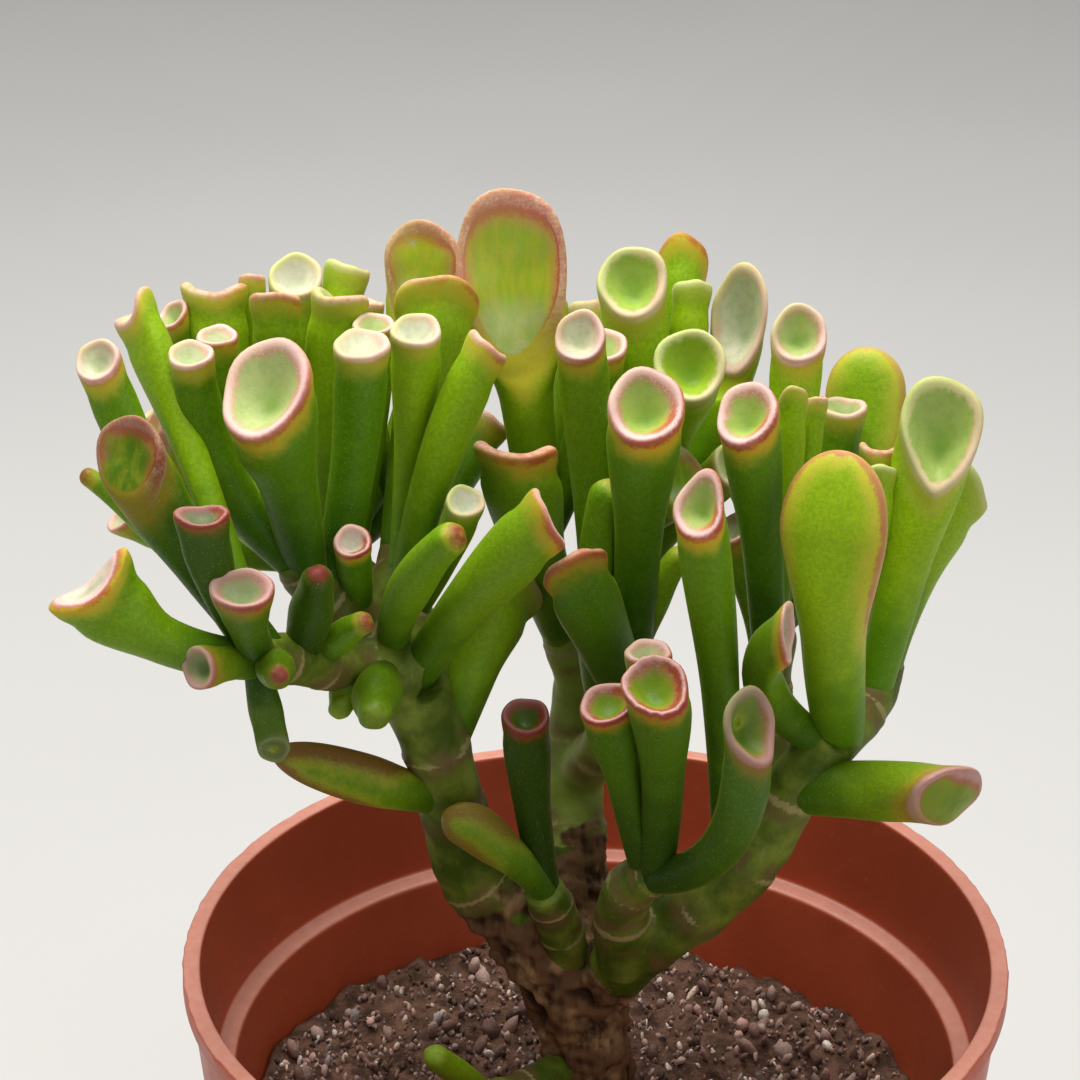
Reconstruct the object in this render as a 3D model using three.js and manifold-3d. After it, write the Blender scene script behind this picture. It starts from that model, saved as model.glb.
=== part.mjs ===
// Trumpet jade (a tube-leaved form of Crassula ovata) in its nursery pot.
// Millimetres, +Z up. The origin is the middle of the pot's flat base, and -Y is the plant's front.
import * as THREE from 'three';
import { mergeVertices } from 'three/addons/utils/BufferGeometryUtils.js';
import Module from 'manifold-3d';

const wasm = await Module();
wasm.setup();

// ---------------------------------------------------------------- driving dimensions
const POT_HEIGHT = 105;
const RIM_RADIUS = 60;
const LIP_WIDTH = 2.6;
const LIP_HEIGHT = 2.8;
const COLLAR_HEIGHT = 18; // from the top of the rim down to the outside step
const COLLAR_WALL = 1.8;
const COLLAR_FOOT_RADIUS = 57.6;
const LEDGE_RADIUS = 53; // inner edge of the ledge inside, below the collar
const LEDGE_DROP = 17.5; // from the top of the rim down to the ledge
const WALL = 1.6;
const BASE_RADIUS = 40.5;
const BASE_WALL = 2;
const POT_SIDES = 32;
const DRAIN_HOLES = 6;
const DRAIN_HOLE_RADIUS = 4;
const DRAIN_CIRCLE_RADIUS = 27;

const SOIL_LEVEL = 75;
const SOIL_RISE = 3; // the soil stands this much higher at the front left
const GRIT_RELIEF = 1.3;
const SOIL_RINGS = 8;

const CLEARANCE = 0.35; // between any two pieces that meet
const STEM_SIDES = { limb: 8, shoot: 6 };
const STEM_STEP = 3.75;
const NODE_RING_SPACING = 7.5; // leaf scars ring the green stems at about this spacing
const NODE_RING_BULGE = 0.07; // of the stem's radius

const BARK = new THREE.MeshStandardMaterial({ color: 0x6b5140, roughness: 0.9, metalness: 0 });
const SOIL = new THREE.MeshStandardMaterial({ color: 0x6e5a4c, roughness: 1, metalness: 0 });
const TERRACOTTA = new THREE.MeshStandardMaterial({ color: 0xb0583a, roughness: 0.5, metalness: 0 });
const LEAF = new THREE.MeshStandardMaterial({ color: 0x8db33a, roughness: 0.4, metalness: 0 });

// ---------------------------------------------------------------- stems
// Each stem is a smooth line through points [x, y, z, radius].
const STEMS = {
  trunk: [[0, 0, 55, 7], [0, 0, 68, 6.8], [-0.2, 0, 80, 6.3], [-2, 0, 93, 6.6], [-4.5, 0, 102, 7.4]],
  left_limb: [[-4.5, 0, 101, 6.6], [-11, -1, 110.5, 5.8], [-18, -3, 120, 5], [-20.5, -5, 132.5, 4.6],
    [-22.5, -7, 142.5, 4.7], [-25.5, -8, 152, 5.2]],
  left_front: [[-26, -8, 154.5, 5], [-34, -12, 157.5, 3.6], [-41, -20, 163, 3.4], [-45.5, -27, 166.5, 2.8]],
  left_outer: [[-26.5, -6, 154, 4.6], [-32.5, -6, 161.5, 4], [-38, -8, 167, 3.4], [-41.5, -10, 173, 2.6]],
  left_back: [[-26, -4, 153, 4.6], [-33.5, 8, 159, 4], [-42, 14, 165.5, 3.4], [-49, 12, 170.5, 2.6]],
  left_inner: [[-25.5, -6, 152.5, 5.2], [-27, 0, 158.5, 4.4], [-27.5, 8, 164, 3.4], [-27, 14, 167, 2.6]],
  centre_limb: [[-4, 1, 102, 5.6], [-3, 10, 113.5, 4.9], [-3, 16, 123.5, 4.2], [-2.5, 19, 135.5, 3.8],
    [-0.5, 20, 146.5, 3.4]],
  centre_left: [[-2, 19, 137, 3.4], [-5, 17, 149.5, 3.2], [-7.5, 16, 160, 3], [-7.5, 16, 168, 2.8]],
  centre_back: [[-1, 20, 143, 3.4], [5, 21, 154, 3.4], [9.5, 22, 163.5, 3.2], [13.5, 22, 171.5, 2.6]],
  centre_front: [[-2.5, 16, 123.5, 3.6], [1.5, 8, 135, 3.4], [3.5, 3, 144, 3.2], [5, 0, 151.5, 2.8]],
  right_limb: [[-1, 0, 97, 5.4], [6.5, -7, 110, 4.9], [14.5, -9, 117.5, 4.6], [22, -10, 126.5, 4.3],
    [27.5, -9, 137.5, 4], [32.5, -8, 144, 3.8]],
  right_outer: [[32.5, -8, 143.5, 3.8], [36.5, -4, 145.5, 3.4], [40, 2, 148, 3], [40.5, 6, 152, 2.6]],
  right_inner: [[24, -9, 128.5, 3.6], [24, -2, 135.5, 3.4], [24.5, 4, 143.5, 3.2], [25.5, 8, 153, 2.8]],
  right_front: [[4, -8, 107, 3.9], [3.5, -12, 118, 3.8], [5, -15, 125, 3.4], [8, -17, 128, 3]],
  fork_shoot: [[-3.5, -2, 103, 3.2], [-5.5, -7, 114, 3.2], [-7.5, -10, 121, 3]],
  base_shoot: [[-4, -3, 86, 2.8], [-11, -10, 86.5, 2.7], [-15, -15, 89, 2.4]],
};

// The woody part of each limb, as a share of its length, belongs to the trunk.
const WOODY_SHARE = { left_limb: 0.3, centre_limb: 0.3, right_limb: 0.12 };

// ---------------------------------------------------------------- leaves
// A leaf runs from its foot, at a share of its stem's length, to the middle of its mouth.
// radius: of the tube; mouth: half its width and half its length; facing: azimuth from the front (to +X)
// and elevation of the mouth's outward direction, in degrees. Options: roll turns the mouth in its plane,
// notch lifts two opposite sides of the lip, taper widens the mouth's far end, tip closes the mouth to a
// blunt end, bend bows the leaf towards its facing, hook swings it out before it rises.
const LEAVES = {
  left_branch: [
    ['left_front', 0.95, [-66, -8, 201], 2.7, [3.2, 3.1], [-25, 45], { bend: 0.08, hook: 0.1 }],
    ['left_front', 0.9, [-62, 2, 204], 2.5, [2.8, 3.8], [-110, 36], { notch: 0.9, bend: 0.02 }],
    ['left_back', 0.95, [-58.5, 14, 198.5], 2.4, [2.7, 2.6], [-60, 50], { bend: 0.05, hook: 0.1 }],
    ['left_back', 0.9, [-53, 16, 201], 3.5, [4.6, 3], [180, 64], { notch: -0.9, bend: 0.12 }],
    ['left_outer', 0.95, [-54, -6, 201], 3.6, [3.1, 3], [0, 75], { bend: 0.06, hook: 0.14 }],
    ['left_back', 0.8, [-51.5, 5, 199], 2.8, [2.9, 2.8], [0, 82], { bend: 0.06, hook: 0.1 }],
    ['left_back', 0.75, [-42, 22, 201], 3.2, [3.9, 4], [0, 58], { bend: 0.03 }],
    ['left_back', 0.6, [-35, 26, 200.5], 3, [3.4, 3], [145, 59], { bend: 0.05 }],
    ['left_back', 0.85, [-48, 20, 201.5], 2.2, [1.9, 1.8], [180, 60], { bend: 0.05 }],
    ['left_back', 0.7, [-44, 10, 202], 3.6, [3.5, 3.2], [180, 50], { bend: 0.05 }],
    ['left_back', 0.55, [-35.5, 12, 201.5], 4, [4.4, 3.2], [150, 58], { notch: -0.7, bend: 0.05 }],
    ['left_outer', 0.8, [-43.5, -15, 200], 4.7, [6.1, 7.4], [-30, 42], { bend: 0.08, hook: 0.03 }],
    ['left_outer', 0.6, [-31.5, -4, 201.5], 3.7, [3.9, 3.8], [0, 80], { bend: 0.12 }],
    ['left_inner', 0.5, [-24.5, 1, 201.5], 3.1, [3.4, 3.3], [0, 70], { bend: 0.08 }],
    ['left_back', 0.4, [-30.5, 8, 199.5], 2.8, [3, 2.8], [0, 80], { bend: 0.05 }],
    ['left_inner', 0.9, [-24.5, 25, 201], 4, [5.6, 7], [-15, 15], { taper: 0.1, bend: 0.05 }],
    ['left_inner', 0.75, [-22, 13, 200.5], 4.8, [6, 6], [180, 30], { bend: 0.03 }],
    ['left_inner', 0.35, [-15, 0, 199.5], 3.4, [3.2, 3.2], [117, 43], { bend: 0.12 }],
    ['left_front', 0.8, [-61, -21, 193], 4, [5.2, 5.6], [-30, 25], { taper: 0.05, bend: 0.06, hook: 0.06 }],
    ['left_front', 0.85, [-68, -8, 184], 2.3, [1.4, 1.3], [-90, 30], { tip: 1, bend: 0.1 }],
    ['left_front', 0.85, [-51, -29, 188.5], 3, [3.7, 2.4], [0, 80], { notch: -0.3, bend: 0.1, hook: 0.05 }],
    ['left_front', 0.97, [-65.5, -30, 179], 4, [2.9, 6.3], [-74, 56], { notch: 1, bend: 0.25 }],
    ['left_outer', 0.9, [-50.5, 2, 183], 2, [1.4, 1.4], [0, 60], { tip: 1, bend: 0.1 }],
    ['left_outer', 0.35, [-33, -12, 176.5], 2.9, [2.6, 2.5], [0, 50], { bend: 0.1 }],
    ['left_front', 0.62, [-37, -24, 176.5], 3.5, [2.2, 2.2], [20, 62], { tip: 1, bend: 0.1 }],
    ['left_inner', 0.3, [-18, -8, 180.5], 2.6, [2.7, 2.6], [20, 58], { bend: 0.15 }],
    ['left_inner', 0, [-7, -18, 182.5], 4.3, [3.8, 4.6], [102, 24], { bend: 0.1 }],
    ['left_outer', 0.1, [-20, -22, 181.5], 3.4, [2.4, 2.4], [60, 35], { tip: 1, bend: 0.12 }],
    ['left_front', 0.9, [-46, -32, 179.5], 3, [4.3, 3.4], [-10, 68], { bend: 0.12 }],
    ['left_front', 0.95, [-52, -32, 168], 2.9, [2.9, 2.9], [-40, 12], { bend: 0.05 }],
    ['left_front', 0.8, [-42, -33, 167.5], 3.1, [1.8, 1.8], [30, 30], { tip: 1, bend: 0 }],
    ['left_front', 0.98, [-43, -29, 154.5], 2.6, [2.2, 2.2], [10, -5], { bend: 0.05 }],
    ['left_limb', 0.6, [-34.5, -13, 141.2], 3.7, [2.3, 3.8], [-80, 24], { tip: 4.5, bend: 0.05 }],
    ['left_front', 0.5, [-31.6, -21, 168.8], 2.6, [1.6, 1.6], [60, 30], { tip: 1, bend: 0.1 }],
    ['left_front', 0.15, [-30, -24, 157], 4.1, [2.3, 2.3], [15, 15], { tip: 1, bend: 0 }],
    ['left_front', 0.3, [-35, -17, 154], 2.8, [1.6, 1.6], [-10, 0], { tip: 1, bend: 0 }],
    ['left_limb', 0.75, [-12.5, 8, 160], 4.6, [5.4, 6], [150, 30], { bend: 0.1 }],
  ],
  centre_branch: [
    ['centre_left', 0.9, [-11.9, 18, 202.4], 4.6, [7.6, 12.8], [3, 14], { taper: 0.12, bend: 0.02 }],
    ['centre_front', 0.3, [-2.5, 10, 197], 3.2, [3.5, 3.8], [-15, 38], { bend: 0.06 }],
    ['centre_left', 0.3, [-11.5, 4, 181.5], 5, [5.8, 4.4], [172, 55], { notch: -1.1, bend: 0.08 }],
    ['centre_front', 0.4, [1, 0, 177], 3.6, [2.8, 2.8], [120, 50], { tip: 1, bend: 0.1 }],
    ['centre_front', 0.75, [-3.5, -13, 173], 4.8, [4.8, 4.8], [-143, 42], { bend: 0.08 }],
    ['centre_back', 0.5, [5, 25, 199], 4.1, [5.1, 5.4], [-12, 38], { bend: 0.02 }],
    ['centre_back', 0.7, [12.5, 38, 196.5], 3.4, [3.8, 6], [180, 20], { bend: 0.05 }],
    ['centre_back', 0.75, [13.5, 29, 196.5], 2.8, [2.9, 3], [180, 55], { bend: 0.05 }],
    ['centre_back', 0.95, [20, 24, 193.5], 4.2, [5.2, 8.4], [-48, 14], { taper: 0.1, bend: 0.15 }],
    ['centre_back', 0.6, [12.5, 8, 193.5], 2.6, [5, 5.3], [-5, 38], { bend: 0.04 }],
    ['centre_front', 0.9, [6, -8, 194.5], 4, [5.1, 5.4], [-6, 42], { bend: 0.04 }],
    ['centre_front', 0.95, [11, 2, 167], 2.6, [1.8, 1.8], [90, 50], { tip: 1, bend: 0.1 }],
  ],
  right_branch: [
    ['right_inner', 0.7, [19.5, -6, 192.5], 3.3, [4.3, 4.8], [-32, 42], { bend: 0.05 }],
    ['right_limb', 0.5, [13, -18, 185], 3.2, [3.5, 4.9], [-28, 28], { taper: -0.35, bend: 0.06 }],
    ['right_inner', 0.9, [28, 17, 194.5], 3.4, [4, 4.3], [-5, 35], { bend: 0.05 }],
    ['right_inner', 0.95, [26.5, 5, 189.5], 2.2, [2.1, 3.4], [180, 30], { bend: 0.05 }],
    ['right_inner', 1, [30, 8, 188], 1.9, [1.7, 2], [180, 50], { bend: 0.05 }],
    ['right_outer', 0.8, [38, 22, 183.3], 4.2, [5.8, 2.5], [165, 70], { tip: 2.4, bend: 0.06 }],
    ['right_outer', 0.5, [46.5, 2, 185.5], 4.2, [5.4, 8.3], [-4, 25], { taper: 0.42, bend: 0.1 }],
    ['right_outer', 0.9, [39, 8, 180.5], 2.6, [3.1, 2.6], [165, 58], { notch: -0.7, bend: 0.06 }],
    ['right_outer', 0.95, [38.5, 3, 179.5], 2.2, [2.5, 2.8], [180, 45], { bend: 0.06 }],
    ['right_outer', 0.1, [31, -13, 179], 5.5, [7.6, 2.8], [156, 74], { tip: 3.4, bend: 0.1 }],
    ['right_outer', 0.75, [51.6, 9, 175.5], 4.2, [3.4, 6], [120, 25], { taper: 0.1, bend: 0.16 }],
    ['right_outer', 0.75, [41.5, 11, 172.5], 2.3, [2.2, 2.2], [0, 80], { bend: 0.06 }],
    ['right_limb', 0.97, [24.6, -21, 167.5], 3.5, [3.5, 4.6], [74, 5], { bend: 0.4 }],
    ['right_limb', 0.78, [47.6, -18.5, 141.2], 5, [6.4, 5.1], [32, -14], { roll: -35, bend: 0.03 }],
    ['right_front', 0.9, [19.8, -27, 156.5], 3.8, [4.6, 5.6], [46, 24], { taper: 0.1, bend: 0, hook: 0.27 }],
    ['right_front', 0.85, [0.9, -27, 160.2], 2.7, [3.9, 3.1], [-12, 62], { roll: 30, bend: 0.08 }],
    ['right_front', 1, [7, -31, 164.8], 3.7, [4.8, 4.2], [-15, 56], { roll: -40, notch: 0.4, bend: 0.1 }],
    ['right_front', 0.75, [6.5, -19, 163.5], 2.8, [3.2, 3], [0, 85], { bend: 0.04 }],
  ],
  fork_shoot: [
    ['fork_shoot', 0.9, [-10, -14, 151], 3.2, [3.3, 3.2], [0, 68], { bend: 0.1 }],
    ['fork_shoot', 0.95, [-17.6, -15, 134.2], 3.1, [2.1, 3.4], [-75, 32], { tip: 2, bend: 0.08 }],
  ],
  base_shoot: [
    ['base_shoot', 1, [-22.5, -24, 102], 2.3, [1.9, 1.9], [-20, 55], { tip: 1, bend: 0 }],
  ],
};

// The stems that each branch is made of, in the order in which the branches are fitted to each other.
const BRANCH_STEMS = {
  left_branch: ['left_limb', 'left_front', 'left_outer', 'left_back', 'left_inner'],
  centre_branch: ['centre_limb', 'centre_left', 'centre_back', 'centre_front'],
  right_branch: ['right_limb', 'right_outer', 'right_inner', 'right_front'],
  fork_shoot: ['fork_shoot'],
  base_shoot: ['base_shoot'],
};

// Smaller leaves fill the back and the middle of each crown: their mouths lie on a low dome.
// middle and radii in X and Y; top and edge heights; how many places are tried and how many are taken.
const CROWNS = {
  left_branch: { middle: [-38, 9], radii: [28, 29], heights: [201, 171], tries: 150, leaves: 18,
    feet: ['left_front', 'left_outer', 'left_back', 'left_inner'] },
  centre_branch: { middle: [2, 26], radii: [27, 24], heights: [195, 168], tries: 130, leaves: 14,
    feet: ['centre_left', 'centre_back'] },
  right_branch: { middle: [33, 14], radii: [17, 20], heights: [187, 158], tries: 110, leaves: 9,
    feet: ['right_outer', 'right_inner'] },
};
const CROWN_FRONT = 2; // the fill stays behind this Y
const CROWN_SEED = 11;

// ---------------------------------------------------------------- helpers
const UP = new THREE.Vector3(0, 0, 1);
const GOLDEN_ANGLE = Math.PI * (3 - Math.sqrt(5));
const radians = THREE.MathUtils.degToRad;
const vector = ([x, y, z]) => new THREE.Vector3(x, y, z);
const smoothstep = (x) => THREE.MathUtils.smoothstep(x, 0, 1);

// a small seeded generator of numbers from 0 to 1
function randomFrom(seed) {
  let state = seed;
  return () => {
    state = (state * 1664525 + 1013904223) % 4294967296;
    return state / 4294967296;
  };
}

// one closed body: rings of points from the first end to the last, each end closed to a point
function loft(rings, firstPoint, lastPoint) {
  const sides = rings[0].length;
  const points = [firstPoint, ...rings.flat(), lastPoint];
  const last = points.length - 1;
  const index = [];
  for (let side = 0; side < sides; side += 1) {
    const next = (side + 1) % sides;
    index.push(0, 1 + next, 1 + side);
    for (let ring = 0; ring < rings.length - 1; ring += 1) {
      const low = 1 + ring * sides;
      const high = low + sides;
      index.push(low + side, low + next, high + next, low + side, high + next, high + side);
    }
    const rim = last - sides;
    index.push(last, rim + side, rim + next);
  }
  const geometry = new THREE.BufferGeometry().setFromPoints(points);
  geometry.setIndex(index);
  return geometry;
}

function toSolid(geometry) {
  geometry.deleteAttribute('normal');
  geometry.deleteAttribute('uv');
  const merged = mergeVertices(geometry, 1e-4);
  return new wasm.Manifold(new wasm.Mesh({
    numProp: 3,
    vertProperties: new Float32Array(merged.attributes.position.array),
    triVerts: new Uint32Array(merged.index.array),
  }));
}

function toMesh(name, solid, material) {
  const mesh = solid.getMesh();
  const geometry = new THREE.BufferGeometry();
  geometry.setAttribute('position', new THREE.BufferAttribute(mesh.vertProperties, 3));
  geometry.setIndex(new THREE.BufferAttribute(mesh.triVerts, 1));
  geometry.computeVertexNormals();
  const result = new THREE.Mesh(geometry, material);
  result.name = name;
  return result;
}

const largestPiece = (solid) => solid.decompose().sort((a, b) => b.volume() - a.volume())[0];

// ---------------------------------------------------------------- stems as solids
function stemCurve(name) {
  return new THREE.CatmullRomCurve3(STEMS[name].map(vector), false, 'catmullrom', 0.5);
}

function stemRadius(name, share) {
  const points = STEMS[name];
  const place = share * (points.length - 1);
  const index = Math.min(Math.floor(place), points.length - 2);
  return THREE.MathUtils.lerp(points[index][3], points[index + 1][3], place - index);
}

// part of a stem from one share of its length to another, thicker by grow all round
function stemSolid(name, { from = 0, to = 1, grow = 0, ringed = true } = {}) {
  const curve = stemCurve(name);
  const steps = Math.max(3, Math.ceil((curve.getLength() * (to - from)) / STEM_STEP));
  const sides = STEMS[name][0][3] > 4.8 ? STEM_SIDES.limb : STEM_SIDES.shoot;
  const rings = [];
  for (let step = 0; step <= steps; step += 1) {
    const share = from + ((to - from) * step) / steps;
    const along = curve.getTangent(share);
    const across = new THREE.Vector3(1, 0, 0).addScaledVector(along, -along.x).normalize();
    const other = new THREE.Vector3().crossVectors(along, across);
    const phase = (curve.getLength() * share) / NODE_RING_SPACING;
    const bulge = ringed ? Math.max(0, Math.cos(2 * Math.PI * phase)) ** 4 : 0;
    const radius = stemRadius(name, share) * (1 + NODE_RING_BULGE * bulge) + grow;
    const centre = curve.getPoint(share);
    if (step === 0) centre.addScaledVector(along, -grow);
    if (step === steps) centre.addScaledVector(along, grow);
    const ring = [];
    for (let side = 0; side < sides; side += 1) {
      const angle = (2 * Math.PI * side) / sides;
      ring.push(centre.clone()
        .addScaledVector(across, radius * Math.cos(angle))
        .addScaledVector(other, radius * Math.sin(angle)));
    }
    rings.push(ring);
  }
  const middle = (ring) => ring.reduce((sum, point) => sum.add(point), new THREE.Vector3())
    .divideScalar(ring.length);
  return toSolid(loft(rings, middle(rings[0]), middle(rings[steps])));
}

// ---------------------------------------------------------------- leaves as solids
const TUBE_SHARES = [0, 0.42, 0.76, 1];
const SPOON_SHARES = [0, 0.32, 0.58, 0.8, 1];
const FOOT_TAPER = 0.36; // a leaf is this much slimmer at its foot
const TILT_START = 0.3; // where the sections begin to lean towards the mouth
const FLARE_START = 0.5; // where the tube begins to widen to the mouth
const LIP = { size: 0.82, rise: 0.08 }; // this, the dish and the tip are shares of the mouth's size
const DISH_BOTTOM = 0.26;
const TIP_DOME = { size: 0.72, rise: 0.75 };
const TIP_RISE = 1.1;

function facingVector([azimuth, elevation]) {
  const level = Math.cos(radians(elevation));
  return new THREE.Vector3(Math.sin(radians(azimuth)) * level, -Math.cos(radians(azimuth)) * level,
    Math.sin(radians(elevation)));
}

function leafSides(radius) {
  if (radius > 3.9) return 8;
  return radius > 3.1 ? 7 : 6;
}

function makeLeaf([stem, share, mouth, radius, [halfWidth, halfLength], facing, options = {}]) {
  const normal = Array.isArray(facing) ? facingVector(facing) : facing;
  const foot = stemCurve(stem).getPoint(share);
  const end = vector(mouth);
  const along = end.clone().sub(foot);
  const length = along.length();
  along.normalize();
  const aside = normal.clone().addScaledVector(along, -normal.dot(along)).normalize();
  const outward = new THREE.Vector3(along.x, along.y, 0).normalize();
  const control = foot.clone().add(end).multiplyScalar(0.5)
    .addScaledVector(aside, -(options.bend ?? 0) * length)
    .addScaledVector(outward.sub(UP), (options.hook ?? 0) * length);
  const level = new THREE.Vector3().crossVectors(UP, normal).add(new THREE.Vector3(0.001, 0, 0)).normalize();
  const slope = new THREE.Vector3().crossVectors(normal, level);
  const roll = radians(options.roll ?? 0);
  const wide = level.clone().multiplyScalar(Math.cos(roll)).addScaledVector(slope, Math.sin(roll));
  const spine = new THREE.QuadraticBezierCurve3(foot, control, end);
  const spoon = halfLength > 1.25 * radius;
  return { spine, normal, wide, radius, halfWidth, halfLength, sides: leafSides(radius),
    notch: options.notch ?? 0, taper: options.taper ?? 0, tip: options.tip ?? 0,
    shares: spoon ? SPOON_SHARES : TUBE_SHARES };
}

// the middle, the two axes and their half sizes of a leaf's section
function leafSection(leaf, share) {
  const along = leaf.spine.getTangent(share);
  const lean = smoothstep((share - TILT_START) / (1 - TILT_START));
  const flare = smoothstep((share - FLARE_START) / (1 - FLARE_START));
  const normal = along.clone().multiplyScalar(1 - lean).addScaledVector(leaf.normal, lean).normalize();
  const wide = leaf.wide.clone().addScaledVector(normal, -leaf.wide.dot(normal)).normalize();
  const long = new THREE.Vector3().crossVectors(normal, wide);
  const slant = THREE.MathUtils.clamp(Math.abs(normal.dot(along)), 0.15, 1);
  const endSlant = THREE.MathUtils.clamp(Math.abs(leaf.normal.dot(leaf.spine.getTangent(1))), 0.15, 1);
  const body = leaf.radius * (1 - FOOT_TAPER * (1 - share));
  const thickness = THREE.MathUtils.lerp(body, leaf.halfLength * endSlant, flare);
  return {
    middle: leaf.spine.getPoint(share), normal, wide, long, flare,
    halfWidth: THREE.MathUtils.lerp(body, leaf.halfWidth, flare),
    halfLength: Math.min(thickness / slant, Math.max(leaf.halfLength, body)),
    lift: leaf.notch * smoothstep((share - 0.6) / 0.4),
  };
}

function sectionRing(leaf, section, size, rise, grow) {
  const ring = [];
  for (let side = 0; side < leaf.sides; side += 1) {
    const angle = (2 * Math.PI * side) / leaf.sides;
    const across = (section.halfWidth * size + grow) * (1 + leaf.taper * section.flare * Math.sin(angle));
    const lift = rise - section.lift * Math.cos(2 * angle);
    ring.push(section.middle.clone()
      .addScaledVector(section.wide, across * Math.cos(angle))
      .addScaledVector(section.long, (section.halfLength * size + grow) * Math.sin(angle))
      .addScaledVector(section.normal, lift));
  }
  return ring;
}

function leafSolid(leaf, grow = 0) {
  const rings = leaf.shares.map((share) => sectionRing(leaf, leafSection(leaf, share), 1, 0, grow));
  const end = leafSection(leaf, 1);
  const scale = Math.min(leaf.halfWidth, leaf.halfLength);
  const top = (rise) => end.middle.clone().addScaledVector(end.normal, rise);
  let close;
  if (leaf.tip) {
    rings.push(sectionRing(leaf, end, TIP_DOME.size, TIP_DOME.rise * leaf.tip * scale + grow, grow));
    close = top(TIP_RISE * leaf.tip * scale + grow);
  } else if (grow > 0) {
    rings.push(sectionRing(leaf, end, LIP.size, LIP.rise * scale + grow, grow));
    close = top(LIP.rise * scale + grow);
  } else {
    rings.push(sectionRing(leaf, end, LIP.size, LIP.rise * scale, 0));
    close = top(-DISH_BOTTOM * scale);
  }
  return toSolid(loft(rings, leaf.spine.getPoint(0), close));
}

// ---------------------------------------------------------------- fill leaves
const CROWD_SHARES = [0.35, 0.45, 0.54, 0.63, 0.72, 0.81, 0.91, 1];
const CROWD_OVERLAP = 0.5; // leaves of one branch may touch this much below their upper thirds

function crowdLine(leaf, branch) {
  const balls = CROWD_SHARES.map((share) => {
    const section = leafSection(leaf, share);
    const slant = Math.abs(section.normal.dot(leaf.spine.getTangent(share)));
    return { middle: section.middle, radius: (section.halfWidth + section.halfLength * slant) / 2 };
  });
  return { branch, balls };
}

function tooClose(line, other) {
  return line.balls.some((ball, index) => other.balls.some((near) => {
    const gap = ball.middle.distanceTo(near.middle) - ball.radius - near.radius;
    if (line.branch !== other.branch) return gap < CLEARANCE + 0.6;
    return gap < (index < 4 ? -CROWD_OVERLAP - 2 : -CROWD_OVERLAP);
  }));
}

function nearestFoot(crown, mouth) {
  let best = null;
  for (const stem of crown.feet) {
    for (let step = 1; step <= 4; step += 1) {
      const share = step / 4;
      const foot = stemCurve(stem).getPoint(share);
      const reach = mouth.distanceTo(foot);
      const sideways = Math.hypot(mouth.x - foot.x, mouth.y - foot.y);
      const cost = Math.abs(reach - 30) + 0.5 * sideways;
      if (!best || cost < best.cost) best = { cost, stem, share };
    }
  }
  return best;
}

function fillLeaves(leavesByBranch) {
  const random = randomFrom(CROWN_SEED);
  const lines = Object.entries(leavesByBranch)
    .flatMap(([branch, leaves]) => leaves.map((leaf) => crowdLine(leaf, branch)));
  for (const [branch, crown] of Object.entries(CROWNS)) {
    let taken = 0;
    for (let place = 0; place < crown.tries && taken < crown.leaves; place += 1) {
      const [droop, girth, lean, kind, width] = [random(), random(), random(), random(), random()];
      const spread = Math.sqrt((place + 0.5) / crown.tries);
      const angle = place * GOLDEN_ANGLE;
      const outX = spread * Math.cos(angle);
      const outY = spread * Math.sin(angle);
      const dome = Math.sqrt(Math.max(0, 1 - spread * spread));
      const mouth = new THREE.Vector3(crown.middle[0] + crown.radii[0] * outX,
        crown.middle[1] + crown.radii[1] * outY,
        THREE.MathUtils.lerp(crown.heights[1], crown.heights[0], dome) - 4 * droop);
      if (mouth.y < CROWN_FRONT) continue;
      const radius = 2.4 + girth;
      const spoon = kind > 0.75;
      const normal = new THREE.Vector3(outX, outY, 0).multiplyScalar(0.5 + 0.8 * lean + (spoon ? 0.8 : 0))
        .addScaledVector(UP, 0.8).normalize();
      const halfWidth = radius * (1 + 0.2 * width) * (spoon ? 1.3 : 1);
      const halfLength = halfWidth * (spoon ? 1.35 : 1.05);
      const foot = nearestFoot(crown, mouth);
      const leaf = makeLeaf([foot.stem, foot.share, mouth.toArray(), radius, [halfWidth, halfLength],
        normal, { bend: 0.12 }]);
      const line = crowdLine(leaf, branch);
      if (lines.some((other) => tooClose(line, other))) continue;
      lines.push(line);
      leavesByBranch[branch].push(leaf);
      taken += 1;
    }
  }
}

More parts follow.
